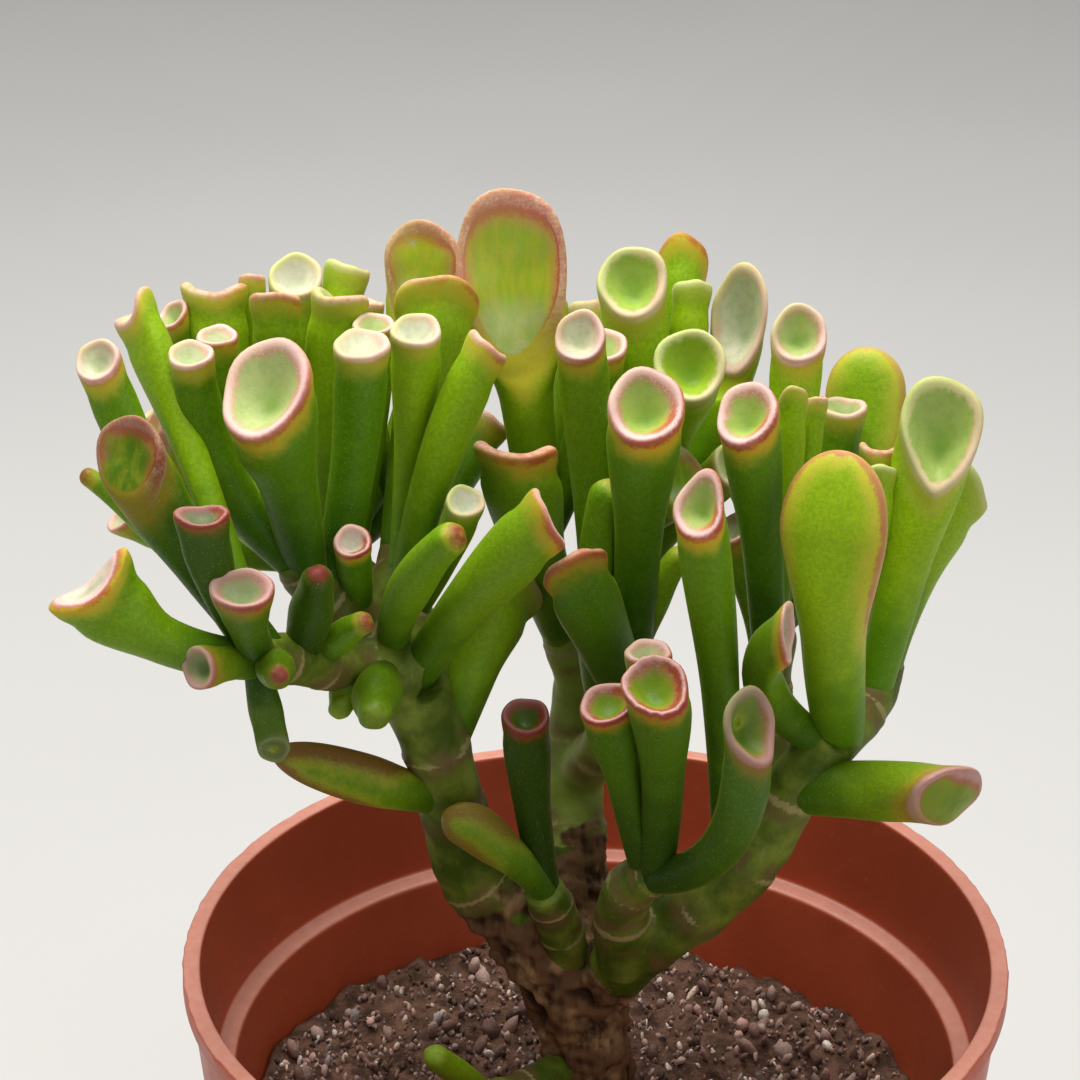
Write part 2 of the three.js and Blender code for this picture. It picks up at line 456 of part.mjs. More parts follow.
// ---------------------------------------------------------------- pot
function makePot() {
  const top = POT_HEIGHT;
  const step = top - COLLAR_HEIGHT;
  const ledge = top - LEDGE_DROP;
  const lipInside = RIM_RADIUS - LIP_WIDTH;
  const profile = [
    [0, 0], [BASE_RADIUS - 0.8, 0], [BASE_RADIUS, 0.8], [LEDGE_RADIUS + WALL, step - 0.6],
    [COLLAR_FOOT_RADIUS - 0.4, step], [COLLAR_FOOT_RADIUS, step + 0.5],
    [RIM_RADIUS - 1, top - LIP_HEIGHT - 0.4], [RIM_RADIUS, top - LIP_HEIGHT], [RIM_RADIUS, top - 0.7],
    [RIM_RADIUS - 0.7, top], [lipInside + 0.6, top], [lipInside, top - 0.6],
    [COLLAR_FOOT_RADIUS - COLLAR_WALL, ledge], [LEDGE_RADIUS, ledge - 0.5],
    [BASE_RADIUS - WALL, BASE_WALL + 0.6], [BASE_RADIUS - WALL - 0.6, BASE_WALL], [0, BASE_WALL],
  ].map(([radius, height]) => new THREE.Vector2(radius, height));
  let pot = toSolid(new THREE.LatheGeometry(profile, POT_SIDES).rotateX(Math.PI / 2));
  for (let hole = 0; hole < DRAIN_HOLES; hole += 1) {
    const angle = (2 * Math.PI * hole) / DRAIN_HOLES;
    const cutter = new THREE.CylinderGeometry(DRAIN_HOLE_RADIUS, DRAIN_HOLE_RADIUS, 4 * BASE_WALL, 12)
      .rotateX(Math.PI / 2)
      .translate(DRAIN_CIRCLE_RADIUS * Math.cos(angle), DRAIN_CIRCLE_RADIUS * Math.sin(angle), 0);
    pot = pot.subtract(toSolid(cutter));
  }
  return pot;
}

// ---------------------------------------------------------------- soil
// the radius of the pot's inside at a height below the ledge
function insideRadius(height) {
  const low = BASE_WALL + 0.6;
  const share = (height - low) / (POT_HEIGHT - LEDGE_DROP - 0.5 - low);
  return THREE.MathUtils.lerp(BASE_RADIUS - WALL, LEDGE_RADIUS, share);
}

function makeSoil(trunkHole) {
  const random = randomFrom(5);
  const bottom = BASE_WALL + 0.6 + CLEARANCE;
  const ringAt = (radiusAt, heightAt) => {
    const ring = [];
    for (let side = 0; side < POT_SIDES; side += 1) {
      const angle = (2 * Math.PI * side) / POT_SIDES;
      const height = heightAt(angle);
      const radius = radiusAt(height);
      ring.push(new THREE.Vector3(radius * Math.cos(angle), radius * Math.sin(angle), height));
    }
    return ring;
  };
  const surface = (angle, share) => SOIL_LEVEL - SOIL_RISE * share * Math.sin(angle + Math.PI / 4)
    + GRIT_RELIEF * (random() - 0.5) * 2;
  const rings = [ringAt((height) => insideRadius(height) - CLEARANCE, () => bottom)];
  rings.push(ringAt((height) => insideRadius(height) - CLEARANCE, (angle) => surface(angle, 1)));
  for (let ring = SOIL_RINGS - 1; ring > 0; ring -= 1) {
    const share = ring / SOIL_RINGS;
    rings.push(ringAt(() => share * (insideRadius(SOIL_LEVEL) - 1), (angle) => surface(angle, share)));
  }
  const solid = toSolid(loft(rings, new THREE.Vector3(0, 0, bottom), new THREE.Vector3(0, 0, SOIL_LEVEL)));
  return solid.subtract(trunkHole);
}

// ---------------------------------------------------------------- plant
function trunkSolid(grow = 0) {
  const stubs = Object.entries(WOODY_SHARE).map(([name, to]) => stemSolid(name, { to, grow, ringed: false }));
  return wasm.Manifold.union([stemSolid('trunk', { grow, ringed: false }), ...stubs]);
}

function makePlant() {
  const leaves = {};
  for (const [branch, rows] of Object.entries(LEAVES)) leaves[branch] = rows.map(makeLeaf);
  fillLeaves(leaves);
  const solids = { trunk: trunkSolid() };
  const taken = [trunkSolid(CLEARANCE)];
  for (const [branch, stems] of Object.entries(BRANCH_STEMS)) {
    let solid = wasm.Manifold.union([
      ...stems.map((stem) => stemSolid(stem)),
      ...leaves[branch].map((leaf) => leafSolid(leaf)),
    ]);
    for (const space of taken) solid = solid.subtract(space);
    solids[branch] = largestPiece(solid);
    taken.push(wasm.Manifold.union([
      ...stems.map((stem) => stemSolid(stem, { grow: CLEARANCE })),
      ...leaves[branch].map((leaf) => leafSolid(leaf, CLEARANCE)),
    ]));
  }
  return solids;
}

// ---------------------------------------------------------------- the object
const trumpetJade = new THREE.Group();
trumpetJade.name = 'trumpet_jade';

const container = new THREE.Group();
container.add(toMesh('pot', makePot(), TERRACOTTA));
container.add(toMesh('soil', makeSoil(trunkSolid(CLEARANCE)), SOIL));
trumpetJade.add(container);

const plant = new THREE.Group();
for (const [name, solid] of Object.entries(makePlant())) {
  plant.add(toMesh(name, solid, name === 'trunk' ? BARK : LEAF));
}
trumpetJade.add(plant);

export default trumpetJade;
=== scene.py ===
"""Trumpet jade in its nursery pot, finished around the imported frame.

The pot, the soil with its grit, the woody trunk, the green stems and the tube-shaped leaves are surfaces
worked out with numpy. The tables of stems and leaves are in millimetres; meshes are in metres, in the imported
model's frame: +Z up, the origin in the middle of the pot's base, and -Y the plant's front.
"""
import math

import bpy
import numpy as np
from bpy.props import FloatProperty, FloatVectorProperty, IntProperty, PointerProperty
from bpy.types import Operator, Panel, PropertyGroup
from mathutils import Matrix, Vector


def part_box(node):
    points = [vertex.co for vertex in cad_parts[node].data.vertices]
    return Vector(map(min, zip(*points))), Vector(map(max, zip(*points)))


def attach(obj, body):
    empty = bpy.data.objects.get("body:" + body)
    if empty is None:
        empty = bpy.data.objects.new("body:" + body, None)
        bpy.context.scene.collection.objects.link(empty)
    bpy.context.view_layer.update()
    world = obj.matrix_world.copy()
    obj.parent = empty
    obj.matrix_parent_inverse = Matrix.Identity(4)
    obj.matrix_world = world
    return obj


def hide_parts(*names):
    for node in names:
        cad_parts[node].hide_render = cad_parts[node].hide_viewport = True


bl_info = {
    "name": "Trumpet Jade",
    "version": (1, 0, 0),
    "blender": (4, 5, 0),
    "location": "View3D > Sidebar > Jade",
    "description": "Builds a potted trumpet jade around its packed frame",
    "category": "Add Mesh",
}

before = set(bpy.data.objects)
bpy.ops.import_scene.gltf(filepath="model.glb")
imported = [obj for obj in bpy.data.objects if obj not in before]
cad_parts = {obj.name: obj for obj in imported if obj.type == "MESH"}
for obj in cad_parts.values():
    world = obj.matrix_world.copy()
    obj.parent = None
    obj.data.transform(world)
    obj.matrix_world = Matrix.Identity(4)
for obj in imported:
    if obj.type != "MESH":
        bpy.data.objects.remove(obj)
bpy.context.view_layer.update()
POT_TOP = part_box("pot")[1]
MM = 0.001
UP = np.array([0.0, 0.0, 1.0])
TURN = 2 * math.pi

# ---------------------------------------------------------------- the plant's own measures
# Each stem is a smooth line through points (x, y, z, radius).
STEMS = {
    "trunk": [(0, 0, 55, 7), (0, 0, 68, 6.8), (-0.2, 0, 80, 6.3), (-2, 0, 93, 6.6), (-4.5, 0, 102, 7.4)],
    "left_limb": [(-4.5, 0, 101, 6.6), (-11, -1, 110.5, 5.8), (-18, -3, 120, 5), (-20.5, -5, 132.5, 4.6),
                  (-22.5, -7, 142.5, 4.7), (-25.5, -8, 152, 5.2)],
    "left_front": [(-26, -8, 154.5, 5), (-34, -12, 157.5, 3.6), (-41, -20, 163, 3.4),
                   (-45.5, -27, 166.5, 2.8)],
    "left_outer": [(-26.5, -6, 154, 4.6), (-32.5, -6, 161.5, 4), (-38, -8, 167, 3.4), (-41.5, -10, 173, 2.6)],
    "left_back": [(-26, -4, 153, 4.6), (-33.5, 8, 159, 4), (-42, 14, 165.5, 3.4), (-49, 12, 170.5, 2.6)],
    "left_inner": [(-25.5, -6, 152.5, 5.2), (-27, 0, 158.5, 4.4), (-27.5, 8, 164, 3.4), (-27, 14, 167, 2.6)],
    "centre_limb": [(-4, 1, 102, 5.6), (-3, 10, 113.5, 4.9), (-3, 16, 123.5, 4.2), (-2.5, 19, 135.5, 3.8),
                    (-0.5, 20, 146.5, 3.4)],
    "centre_left": [(-2, 19, 137, 3.4), (-5, 17, 149.5, 3.2), (-7.5, 16, 160, 3), (-7.5, 16, 168, 2.8)],
    "centre_back": [(-1, 20, 143, 3.4), (5, 21, 154, 3.4), (9.5, 22, 163.5, 3.2), (13.5, 22, 171.5, 2.6)],
    "centre_front": [(-2.5, 16, 123.5, 3.6), (1.5, 8, 135, 3.4), (3.5, 3, 144, 3.2), (5, 0, 151.5, 2.8)],
    "right_limb": [(-1, 0, 97, 5.4), (6.5, -7, 110, 4.9), (14.5, -9, 117.5, 4.6), (22, -10, 126.5, 4.3),
                   (27.5, -9, 137.5, 4), (32.5, -8, 144, 3.8)],
    "right_outer": [(32.5, -8, 143.5, 3.8), (36.5, -4, 145.5, 3.4), (40, 2, 148, 3), (40.5, 6, 152, 2.6)],
    "right_inner": [(24, -9, 128.5, 3.6), (24, -2, 135.5, 3.4), (24.5, 4, 143.5, 3.2), (25.5, 8, 153, 2.8)],
    "right_front": [(4, -8, 107, 3.9), (3.5, -12, 118, 3.8), (5, -15, 125, 3.4), (8, -17, 128, 3)],
    "fork_shoot": [(-3.5, -2, 103, 3.2), (-5.5, -7, 114, 3.2), (-7.5, -10, 121, 3)],
    "base_shoot": [(-4, -3, 86, 2.8), (-11, -10, 86.5, 2.7), (-15, -15, 89, 2.4)],
}
# The woody part of each limb, as a share of its length, belongs to the trunk.
WOODY_SHARE = {"left_limb": 0.3, "centre_limb": 0.3, "right_limb": 0.12}
BRANCH_STEMS = {
    "left_branch": ("left_limb", "left_front", "left_outer", "left_back", "left_inner"),
    "centre_branch": ("centre_limb", "centre_left", "centre_back", "centre_front"),
    "right_branch": ("right_limb", "right_outer", "right_inner", "right_front"),
    "fork_shoot": ("fork_shoot",),
    "base_shoot": ("base_shoot",),
}
# Where old leaves stood on the limbs, as shares of the limb. Shoots have scars at an even spacing.
LIMB_SCARS = {"left_limb": (0.37, 0.59, 0.8), "centre_limb": (0.36, 0.5, 0.64, 0.82),
              "right_limb": (0.24, 0.4, 0.58, 0.76)}
SHOOT_SCAR_SPACING = 7.5

# A leaf runs from its foot, at a share of its stem's length, to the middle of its mouth: (stem, share, mouth,
# radius of the tube, (half the mouth's width, half its length), (azimuth, elevation), options). The facing is
# the mouth's outward direction in degrees, azimuth from the front to +X. Options of the shape: roll turns the
# mouth in its plane, notch lifts two opposite sides of the lip, taper widens the mouth's far end, tip closes
# it to an end of that height, bend bows the leaf towards its facing, hook swings it out before it rises, spoon
# leaves the low side without a lip, teeth nicks the lip, fat widens it and depth deepens the dish. Options of
# the colour: flush is how red the lip is; pale how milky the dish is, its whiteness partly a painted
# highlight; painted_shade how far painted shade darkens a low or shaded leaf; tone_and_painted_light how
# bright the leaf is, partly its own tone and partly painted light; and margin reddens its two narrow sides.
LEAVES = {
    "left_branch": [
        ("left_front", 0.95, (-66, -8, 201), 2.7, (3.2, 3.1), (-25, 45),
         dict(bend=0.08, hook=0.1, flush=0.45, tone_and_painted_light=0.1)),
        ("left_front", 0.9, (-62, 2, 204), 2.5, (2.8, 3.8), (-110, 36),
         dict(notch=0.9, bend=0.02, flush=0.4, tone_and_painted_light=0.7)),
        ("left_back", 0.95, (-58.5, 14, 198.5), 2.4, (2.7, 2.6), (-60, 50), dict(bend=0.05, hook=0.1)),
        ("left_back", 0.9, (-53, 16, 201), 3.5, (4.6, 3), (180, 64),
         dict(notch=-0.9, bend=0.12, flush=0.4, tone_and_painted_light=0.8)),
        ("left_outer", 0.95, (-54, -6, 201), 3.6, (3.1, 3), (0, 75),
         dict(bend=0.06, hook=0.14, flush=0.4, tone_and_painted_light=0.1)),
        ("left_back", 0.8, (-51.5, 5, 199), 2.8, (2.9, 2.8), (0, 82), dict(bend=0.06, hook=0.1, tone_and_painted_light=0.4)),
        ("left_back", 0.75, (-42, 22, 201), 3.2, (3.9, 4), (0, 58),
         dict(bend=0.03, flush=0.2, pale=1, tone_and_painted_light=0.8)),
        ("left_back", 0.6, (-35, 26, 200.5), 3, (3.4, 3), (145, 59), dict(bend=0.05, flush=0.15, tone_and_painted_light=1)),
        ("left_back", 0.85, (-48, 20, 201.5), 2.2, (1.9, 1.8), (180, 60), dict(bend=0.05, flush=0.4)),
        ("left_back", 0.7, (-44, 10, 202), 3.6, (3.5, 3.2), (180, 50), dict(bend=0.05, flush=0.6, tone_and_painted_light=0.6)),
        ("left_back", 0.55, (-35.5, 12, 201.5), 4, (4.4, 3.2), (150, 58),
         dict(notch=-0.7, bend=0.05, flush=0.3, tone_and_painted_light=0.9)),
        ("left_outer", 0.8, (-43.5, -15, 200), 4.7, (6.1, 7.4), (-30, 42),
         dict(bend=0.08, hook=0.03, flush=0.6, pale=0.35, tone_and_painted_light=0, fat=0.75)),
        ("left_outer", 0.6, (-31.5, -4, 201.5), 3.7, (3.9, 3.8), (0, 80),
         dict(bend=0.12, flush=0.35, pale=0.9, tone_and_painted_light=0)),
        ("left_inner", 0.5, (-24.5, 1, 201.5), 3.1, (3.4, 3.3), (0, 70),
         dict(bend=0.08, flush=0.3, pale=0.9, tone_and_painted_light=1)),
        ("left_back", 0.4, (-30.5, 8, 199.5), 2.8, (3, 2.8), (0, 80), dict(bend=0.05, tone_and_painted_light=1)),
        ("left_inner", 0.9, (-24.5, 25, 201), 4, (5.6, 7), (-15, 15),
         dict(taper=0.1, bend=0.05, spoon=1, flush=0.5, tone_and_painted_light=0.8, pale=0.6)),
        ("left_inner", 0.75, (-22, 13, 200.5), 4.8, (6, 6), (180, 30), dict(bend=0.03, flush=0.6, tone_and_painted_light=0.8)),
        ("left_inner", 0.35, (-15, 0, 199.5), 3.4, (3.2, 3.2), (117, 43),
         dict(bend=0.12, flush=0.55, tone_and_painted_light=0.6)),
        ("left_front", 0.8, (-61, -21, 193), 4, (5.2, 5.6), (-30, 25),
         dict(taper=0.05, bend=0.06, hook=0.06, spoon=1, flush=0.9, pale=0, painted_shade=0.55, tone_and_painted_light=0, fat=0.8)),
        ("left_front", 0.85, (-68, -8, 184), 2.3, (1.4, 1.3), (-90, 30), dict(tip=1, bend=0.1, flush=0.9)),
        ("left_front", 0.85, (-51, -29, 188.5), 3, (3.7, 2.4), (0, 80),
         dict(notch=-0.3, bend=0.1, hook=0.05, flush=1, tone_and_painted_light=0, painted_shade=0.85)),
        ("left_front", 0.97, (-65.5, -30, 179), 4, (2.9, 6.3), (-74, 56),
         dict(notch=1, bend=0.25, flush=0.7, tone_and_painted_light=0.3, depth=0.12, fat=1.5, pale=1)),
        ("left_outer", 0.9, (-50.5, 2, 183), 2, (1.4, 1.4), (0, 60), dict(tip=1, bend=0.1)),
        ("left_outer", 0.35, (-33, -12, 176.5), 2.9, (2.6, 2.5), (0, 50),
         dict(bend=0.1, flush=0.9, pale=1, tone_and_painted_light=0.1)),
        ("left_front", 0.62, (-37, -24, 176.5), 3.5, (2.2, 2.2), (20, 62),
         dict(tip=1, bend=0.1, flush=1, tone_and_painted_light=0, painted_shade=0.75)),
        ("left_inner", 0.3, (-18, -8, 180.5), 2.6, (2.7, 2.6), (20, 58),
         dict(bend=0.15, flush=0.2, pale=1)),
        ("left_inner", 0, (-7, -18, 182.5), 4.3, (3.8, 4.6), (102, 24),
         dict(bend=0.1, flush=0.8, painted_shade=0.2, tone_and_painted_light=0.45)),
        ("left_outer", 0.1, (-20, -22, 181.5), 3.4, (2.4, 2.4), (60, 35),
         dict(tip=1, bend=0.12, flush=0.9, tone_and_painted_light=0.2)),
        ("left_front", 0.9, (-46, -32, 179.5), 3, (4.3, 3.4), (-10, 68),
         dict(bend=0.12, flush=0.7, tone_and_painted_light=0, painted_shade=0.5, pale=0.5, fat=0.8)),
        ("left_front", 0.95, (-52, -32, 168), 2.9, (2.9, 2.9), (-40, 12),
         dict(bend=0.05, flush=0.5, painted_shade=0.3)),
        ("left_front", 0.8, (-42, -33, 167.5), 3.1, (1.8, 1.8), (30, 30), dict(tip=1, flush=1, painted_shade=0.5)),
        ("left_front", 0.98, (-43, -29, 154.5), 2.6, (2.2, 2.2), (10, -5),
         dict(bend=0.05, flush=0.1, painted_shade=0.4)),
        ("left_limb", 0.6, (-34.5, -13, 141.2), 3.7, (2.3, 3.8), (-80, 24),
         dict(tip=4.5, bend=0.05, spoon=1, flush=1, painted_shade=-0.1, margin=1, tone_and_painted_light=0.3)),
        ("left_front", 0.5, (-31.6, -21, 168.8), 2.6, (1.6, 1.6), (60, 30),
         dict(tip=1, bend=0.1, flush=0.85)),
        ("left_front", 0.15, (-30, -24, 157), 4.1, (2.3, 2.3), (15, 15), dict(tip=1, flush=0.1, painted_shade=0.2)),
        ("left_front", 0.3, (-35, -17, 154), 2.8, (1.6, 1.6), (-10, 0), dict(tip=1, flush=0)),
        ("left_limb", 0.75, (-12.5, 8, 160), 4.6, (5.4, 6), (150, 30), dict(bend=0.1, flush=0.2, tone_and_painted_light=0.8)),
    ],
    "centre_branch": [
        ("centre_left", 0.9, (-11.9, 18, 202.4), 4.6, (7.6, 12.8), (3, 14),
         dict(taper=0.12, bend=0.02, spoon=1, flush=0.65, pale=0.5, tone_and_painted_light=0.85, fat=0.85)),
        ("centre_front", 0.3, (-2.5, 10, 197), 3.2, (3.5, 3.8), (-15, 38),
         dict(bend=0.06, flush=0.5, tone_and_painted_light=0.3, fat=0.85)),
        ("centre_left", 0.3, (-11.5, 4, 181.5), 5, (5.8, 4.4), (172, 55),
         dict(notch=-1.1, bend=0.08, flush=0.8, tone_and_painted_light=0.3)),
        ("centre_front", 0.4, (1, 0, 177), 3.6, (2.8, 2.8), (120, 50), dict(tip=1, bend=0.1, flush=0.6)),
        ("centre_front", 0.75, (-3.5, -13, 173), 4.8, (4.8, 4.8), (-143, 42),
         dict(bend=0.08, flush=0.9, painted_shade=0.3, tone_and_painted_light=0)),
        ("centre_back", 0.5, (5, 25, 199), 4.1, (5.1, 5.4), (-12, 38),
         dict(bend=0.02, flush=0.22, pale=0.1, tone_and_painted_light=0.9, fat=0.8)),
        ("centre_back", 0.7, (12.5, 38, 196.5), 3.4, (3.8, 6), (180, 20),
         dict(bend=0.05, flush=0.9, tone_and_painted_light=0.6)),
        ("centre_back", 0.75, (13.5, 29, 196.5), 2.8, (2.9, 3), (180, 55),
         dict(bend=0.05, flush=0.1, tone_and_painted_light=1)),
        ("centre_back", 0.95, (20, 24, 193.5), 4.2, (5.2, 8.4), (-48, 14),
         dict(taper=0.1, bend=0.15, flush=0.35, pale=0.85, tone_and_painted_light=1, fat=0.78)),
        ("centre_back", 0.6, (12.5, 8, 193.5), 2.6, (5, 5.3), (-5, 38),
         dict(bend=0.04, flush=0.15, pale=0, tone_and_painted_light=0.9, fat=0.8)),
        ("centre_front", 0.9, (6, -8, 194.5), 4, (5.1, 5.4), (-6, 42),
         dict(bend=0.04, flush=0.8, pale=0.15, tone_and_painted_light=0, fat=0.85)),
        ("centre_front", 0.95, (11, 2, 167), 2.6, (1.8, 1.8), (90, 50), dict(tip=1, bend=0.1)),
    ],
    "right_branch": [
        ("right_inner", 0.7, (19.5, -6, 192.5), 3.3, (4.3, 4.8), (-32, 42),
         dict(bend=0.05, flush=0.8, tone_and_painted_light=0, pale=0.15, fat=0.85)),
        ("right_limb", 0.5, (13, -18, 185), 3.2, (3.5, 4.9), (-28, 28),
         dict(taper=-0.35, bend=0.06, flush=0.8, tone_and_painted_light=0.15, pale=0.2)),
        ("right_inner", 0.9, (28, 17, 194.5), 3.4, (4, 4.3), (-5, 35),
         dict(bend=0.05, flush=0.4, tone_and_painted_light=0.8, pale=0.3, fat=0.85)),
        ("right_inner", 0.95, (26.5, 5, 189.5), 2.2, (2.1, 3.4), (180, 30),
         dict(bend=0.05, flush=0.3, tone_and_painted_light=1)),
        ("right_inner", 1, (30, 8, 188), 1.9, (1.7, 2), (180, 50), dict(bend=0.05, flush=0.3, tone_and_painted_light=0.8)),
        ("right_outer", 0.8, (38, 22, 183.3), 4.2, (5.8, 2.5), (165, 70),
         dict(tip=2.4, bend=0.06, flush=0.5, tone_and_painted_light=0.6, margin=1)),
        ("right_outer", 0.5, (46.5, 2, 185.5), 4.2, (5.4, 8.3), (-4, 25),
         dict(taper=0.42, bend=0.1, flush=0.2, pale=0.2, tone_and_painted_light=0.9, fat=0.78)),
        ("right_outer", 0.9, (39, 8, 180.5), 2.6, (3.1, 2.6), (165, 58),
         dict(notch=-0.7, bend=0.06, flush=0.5)),
        ("right_outer", 0.95, (38.5, 3, 179.5), 2.2, (2.5, 2.8), (180, 45),
         dict(bend=0.06, flush=0.1, tone_and_painted_light=1)),
        ("right_outer", 0.1, (31, -13, 179), 5.5, (7.6, 2.8), (156, 74),
         dict(tip=3.4, bend=0.1, flush=0.7, tone_and_painted_light=0.9, margin=1)),
        ("right_outer", 0.75, (51.6, 9, 175.5), 4.2, (3.4, 6), (120, 25),
         dict(taper=0.1, bend=0.16, flush=0.1, tone_and_painted_light=0.9)),
        ("right_outer", 0.75, (41.5, 11, 172.5), 2.3, (2.2, 2.2), (0, 80), dict(bend=0.06)),
        ("right_limb", 0.97, (24.6, -21, 167.5), 3.5, (3.5, 4.6), (74, 5), dict(bend=0.4, flush=0.7)),
        ("right_limb", 0.78, (47.6, -18.5, 141.2), 5, (6.4, 5.1), (32, -14),
         dict(roll=-35, bend=0.03, spoon=0.4, flush=0.85, pale=0, painted_shade=0.1, tone_and_painted_light=0.8, depth=-0.3, fat=0.6)),
        ("right_front", 0.9, (19.8, -27, 156.5), 3.8, (4.6, 5.6), (46, 24),
         dict(taper=0.1, hook=0.27, flush=0.4, painted_shade=0.3, pale=0.1, tone_and_painted_light=0)),
        ("right_front", 0.85, (0.9, -27, 160.2), 2.7, (3.9, 3.1), (-12, 62),
         dict(roll=30, bend=0.08, flush=1.2, pale=0, painted_shade=0.25, fat=0.8, tone_and_painted_light=0)),
        ("right_front", 1, (7, -31, 164.8), 3.7, (4.8, 4.2), (-15, 56),
         dict(roll=-40, notch=0.4, bend=0.1, flush=1.2, pale=0, painted_shade=0.25, teeth=0.16, fat=0.8, tone_and_painted_light=0)),
        ("right_front", 0.75, (6.5, -19, 163.5), 2.8, (3.2, 3), (0, 85), dict(bend=0.04, flush=0.6)),
    ],
    "fork_shoot": [
        ("fork_shoot", 0.9, (-10, -14, 151), 3.2, (3.3, 3.2), (0, 68),
         dict(bend=0.1, flush=0.9, pale=0, painted_shade=0.9, tone_and_painted_light=0)),
        ("fork_shoot", 0.95, (-17.6, -15, 134.2), 3.1, (2.1, 3.4), (-75, 32),
         dict(tip=2, bend=0.08, spoon=1, flush=0.8, margin=1, tone_and_painted_light=0.3)),
    ],
    "base_shoot": [
        ("base_shoot", 1, (-22.5, -24, 102), 2.3, (1.9, 1.9), (-20, 55), dict(tip=1, flush=0, tone_and_painted_light=0.6)),
    ],
}
# Smaller leaves fill the back and the middle of each crown. Their mouths lie on a low dome, which has a
# middle, two radii and its heights at the top and at the edge. So many places are tried until so many
# leaves stand on the feet.
CROWNS = {
    "left_branch": dict(middle=(-38, 9), radii=(28, 29), heights=(201, 171), tries=150, leaves=18,
                        feet=("left_front", "left_outer", "left_back", "left_inner")),
    "centre_branch": dict(middle=(2, 26), radii=(27, 24), heights=(195, 168), tries=130, leaves=14,
                          feet=("centre_left", "centre_back")),
    "right_branch": dict(middle=(33, 14), radii=(17, 20), heights=(187, 158), tries=110, leaves=9,
                         feet=("right_outer", "right_inner")),
}
CROWN_FRONT = 2  # no fill leaf has its mouth in front of this y
CROWN_SEED = 11
CLEARANCE = 0.95  # between the leaves of two branches
GOLDEN_ANGLE = math.pi * (3 - math.sqrt(5))


# ---------------------------------------------------------------- settings
def linear(red, green, blue):
    """The scene colour of a display colour given from 0 to 255."""
    shares = np.array([red, green, blue]) / 255
    parts = np.where(shares <= 0.04045, shares / 12.92, ((shares + 0.055) / 1.055) ** 2.4)
    return tuple(float(part) for part in parts)


def shade(colour, amount):
    """The colour with each of its parts times the amount."""
    return tuple(amount * part for part in colour)


def length(name, description, default):
    """A length in metres that a user can change."""
    return FloatProperty(name=name, description=description, default=default, min=0, unit="LENGTH")


def share(name, description, default):
    """A number from 0 to 1 that a user can change."""
    return FloatProperty(name=name, description=description, default=default, min=0, max=1, subtype="FACTOR")


def power(name, description, default):
    """A light's power in watts that a user can change."""
    return FloatProperty(name=name, description=description, default=default, min=0, unit="POWER")


def tint(name, description, *display):
    """A colour that a user can change, given as it shows on a display."""
    return FloatVectorProperty(name=name, description=description, subtype="COLOR", min=0, max=1,
                               default=linear(*display))


def count(name, description, default):
    """A whole number that a user can change."""
    return IntProperty(name=name, description=description, default=default, min=3)


class PotSettings(PropertyGroup):
    """Sizes and colours of the nursery pot."""

    height: length("Height", "From the base to the top of the rim", POT_TOP.z)
    rim_radius: length("Rim radius", "Outside of the rim", POT_TOP.x)
    base_radius: length("Base radius", "Outside of the base", 40.5 * MM)
    collar_height: length("Collar height", "From the top of the rim to the step outside", 18 * MM)
    drain_holes: count("Drain holes", "Holes round the middle of the base", 6)
    sides: count("Sides", "Steps round the pot", 360)
    plastic: tint("Plastic", "The moulded wall", 186, 80, 44)
    # The pale coat of the rim and the ledge is partly dusty haze and partly a painted highlight.
    bloom_and_highlight: tint("Bloom", "The dusty haze on the rim and the ledge", 222, 166, 146)


class SoilSettings(PropertyGroup):
    """Sizes and colours of the potting mix."""

    level: length("Level", "Height of the surface in the middle", 75 * MM)
    rise: length("Rise", "How much higher the soil stands at the front left", 3 * MM)
    relief: length("Relief", "Height of the lumps", 1.3 * MM)
    fine_stones: count("Fine stones", "Number of small stones", 3400)
    coarse_stones: count("Coarse stones", "Number of larger stones", 620)
    peat: tint("Peat", "The dark mix under the stones", 112, 82, 66)


class StemSettings(PropertyGroup):
    """Sizes and colours of the trunk and the green stems."""

    voxel: length("Voxel", "Fineness of the fused stems", 0.5 * MM)
    furrow: length("Furrow", "Depth of the furrows in the bark", 0.35 * MM)
    knob: length("Knob", "Height of the knobs in the bark", 0.7 * MM)
    bark_dark: tint("Dark bark", "Furrows and damp bark", 60, 40, 24)
    bark_brown: tint("Brown bark", "Most of the trunk", 110, 80, 52)
    bark_tan: tint("Tan bark", "Dry, scaling bark", 182, 148, 104)
    skin_green: tint("Green skin", "The skin of the green stems", 62, 82, 6)
    skin_pale: tint("Pale skin", "The bloom on the green stems", 124, 138, 46)
    skin_young: tint("Young skin", "The skin of the centre branch", 146, 164, 70)
    scar: tint("Scar", "Leaf scars", 166, 144, 100)


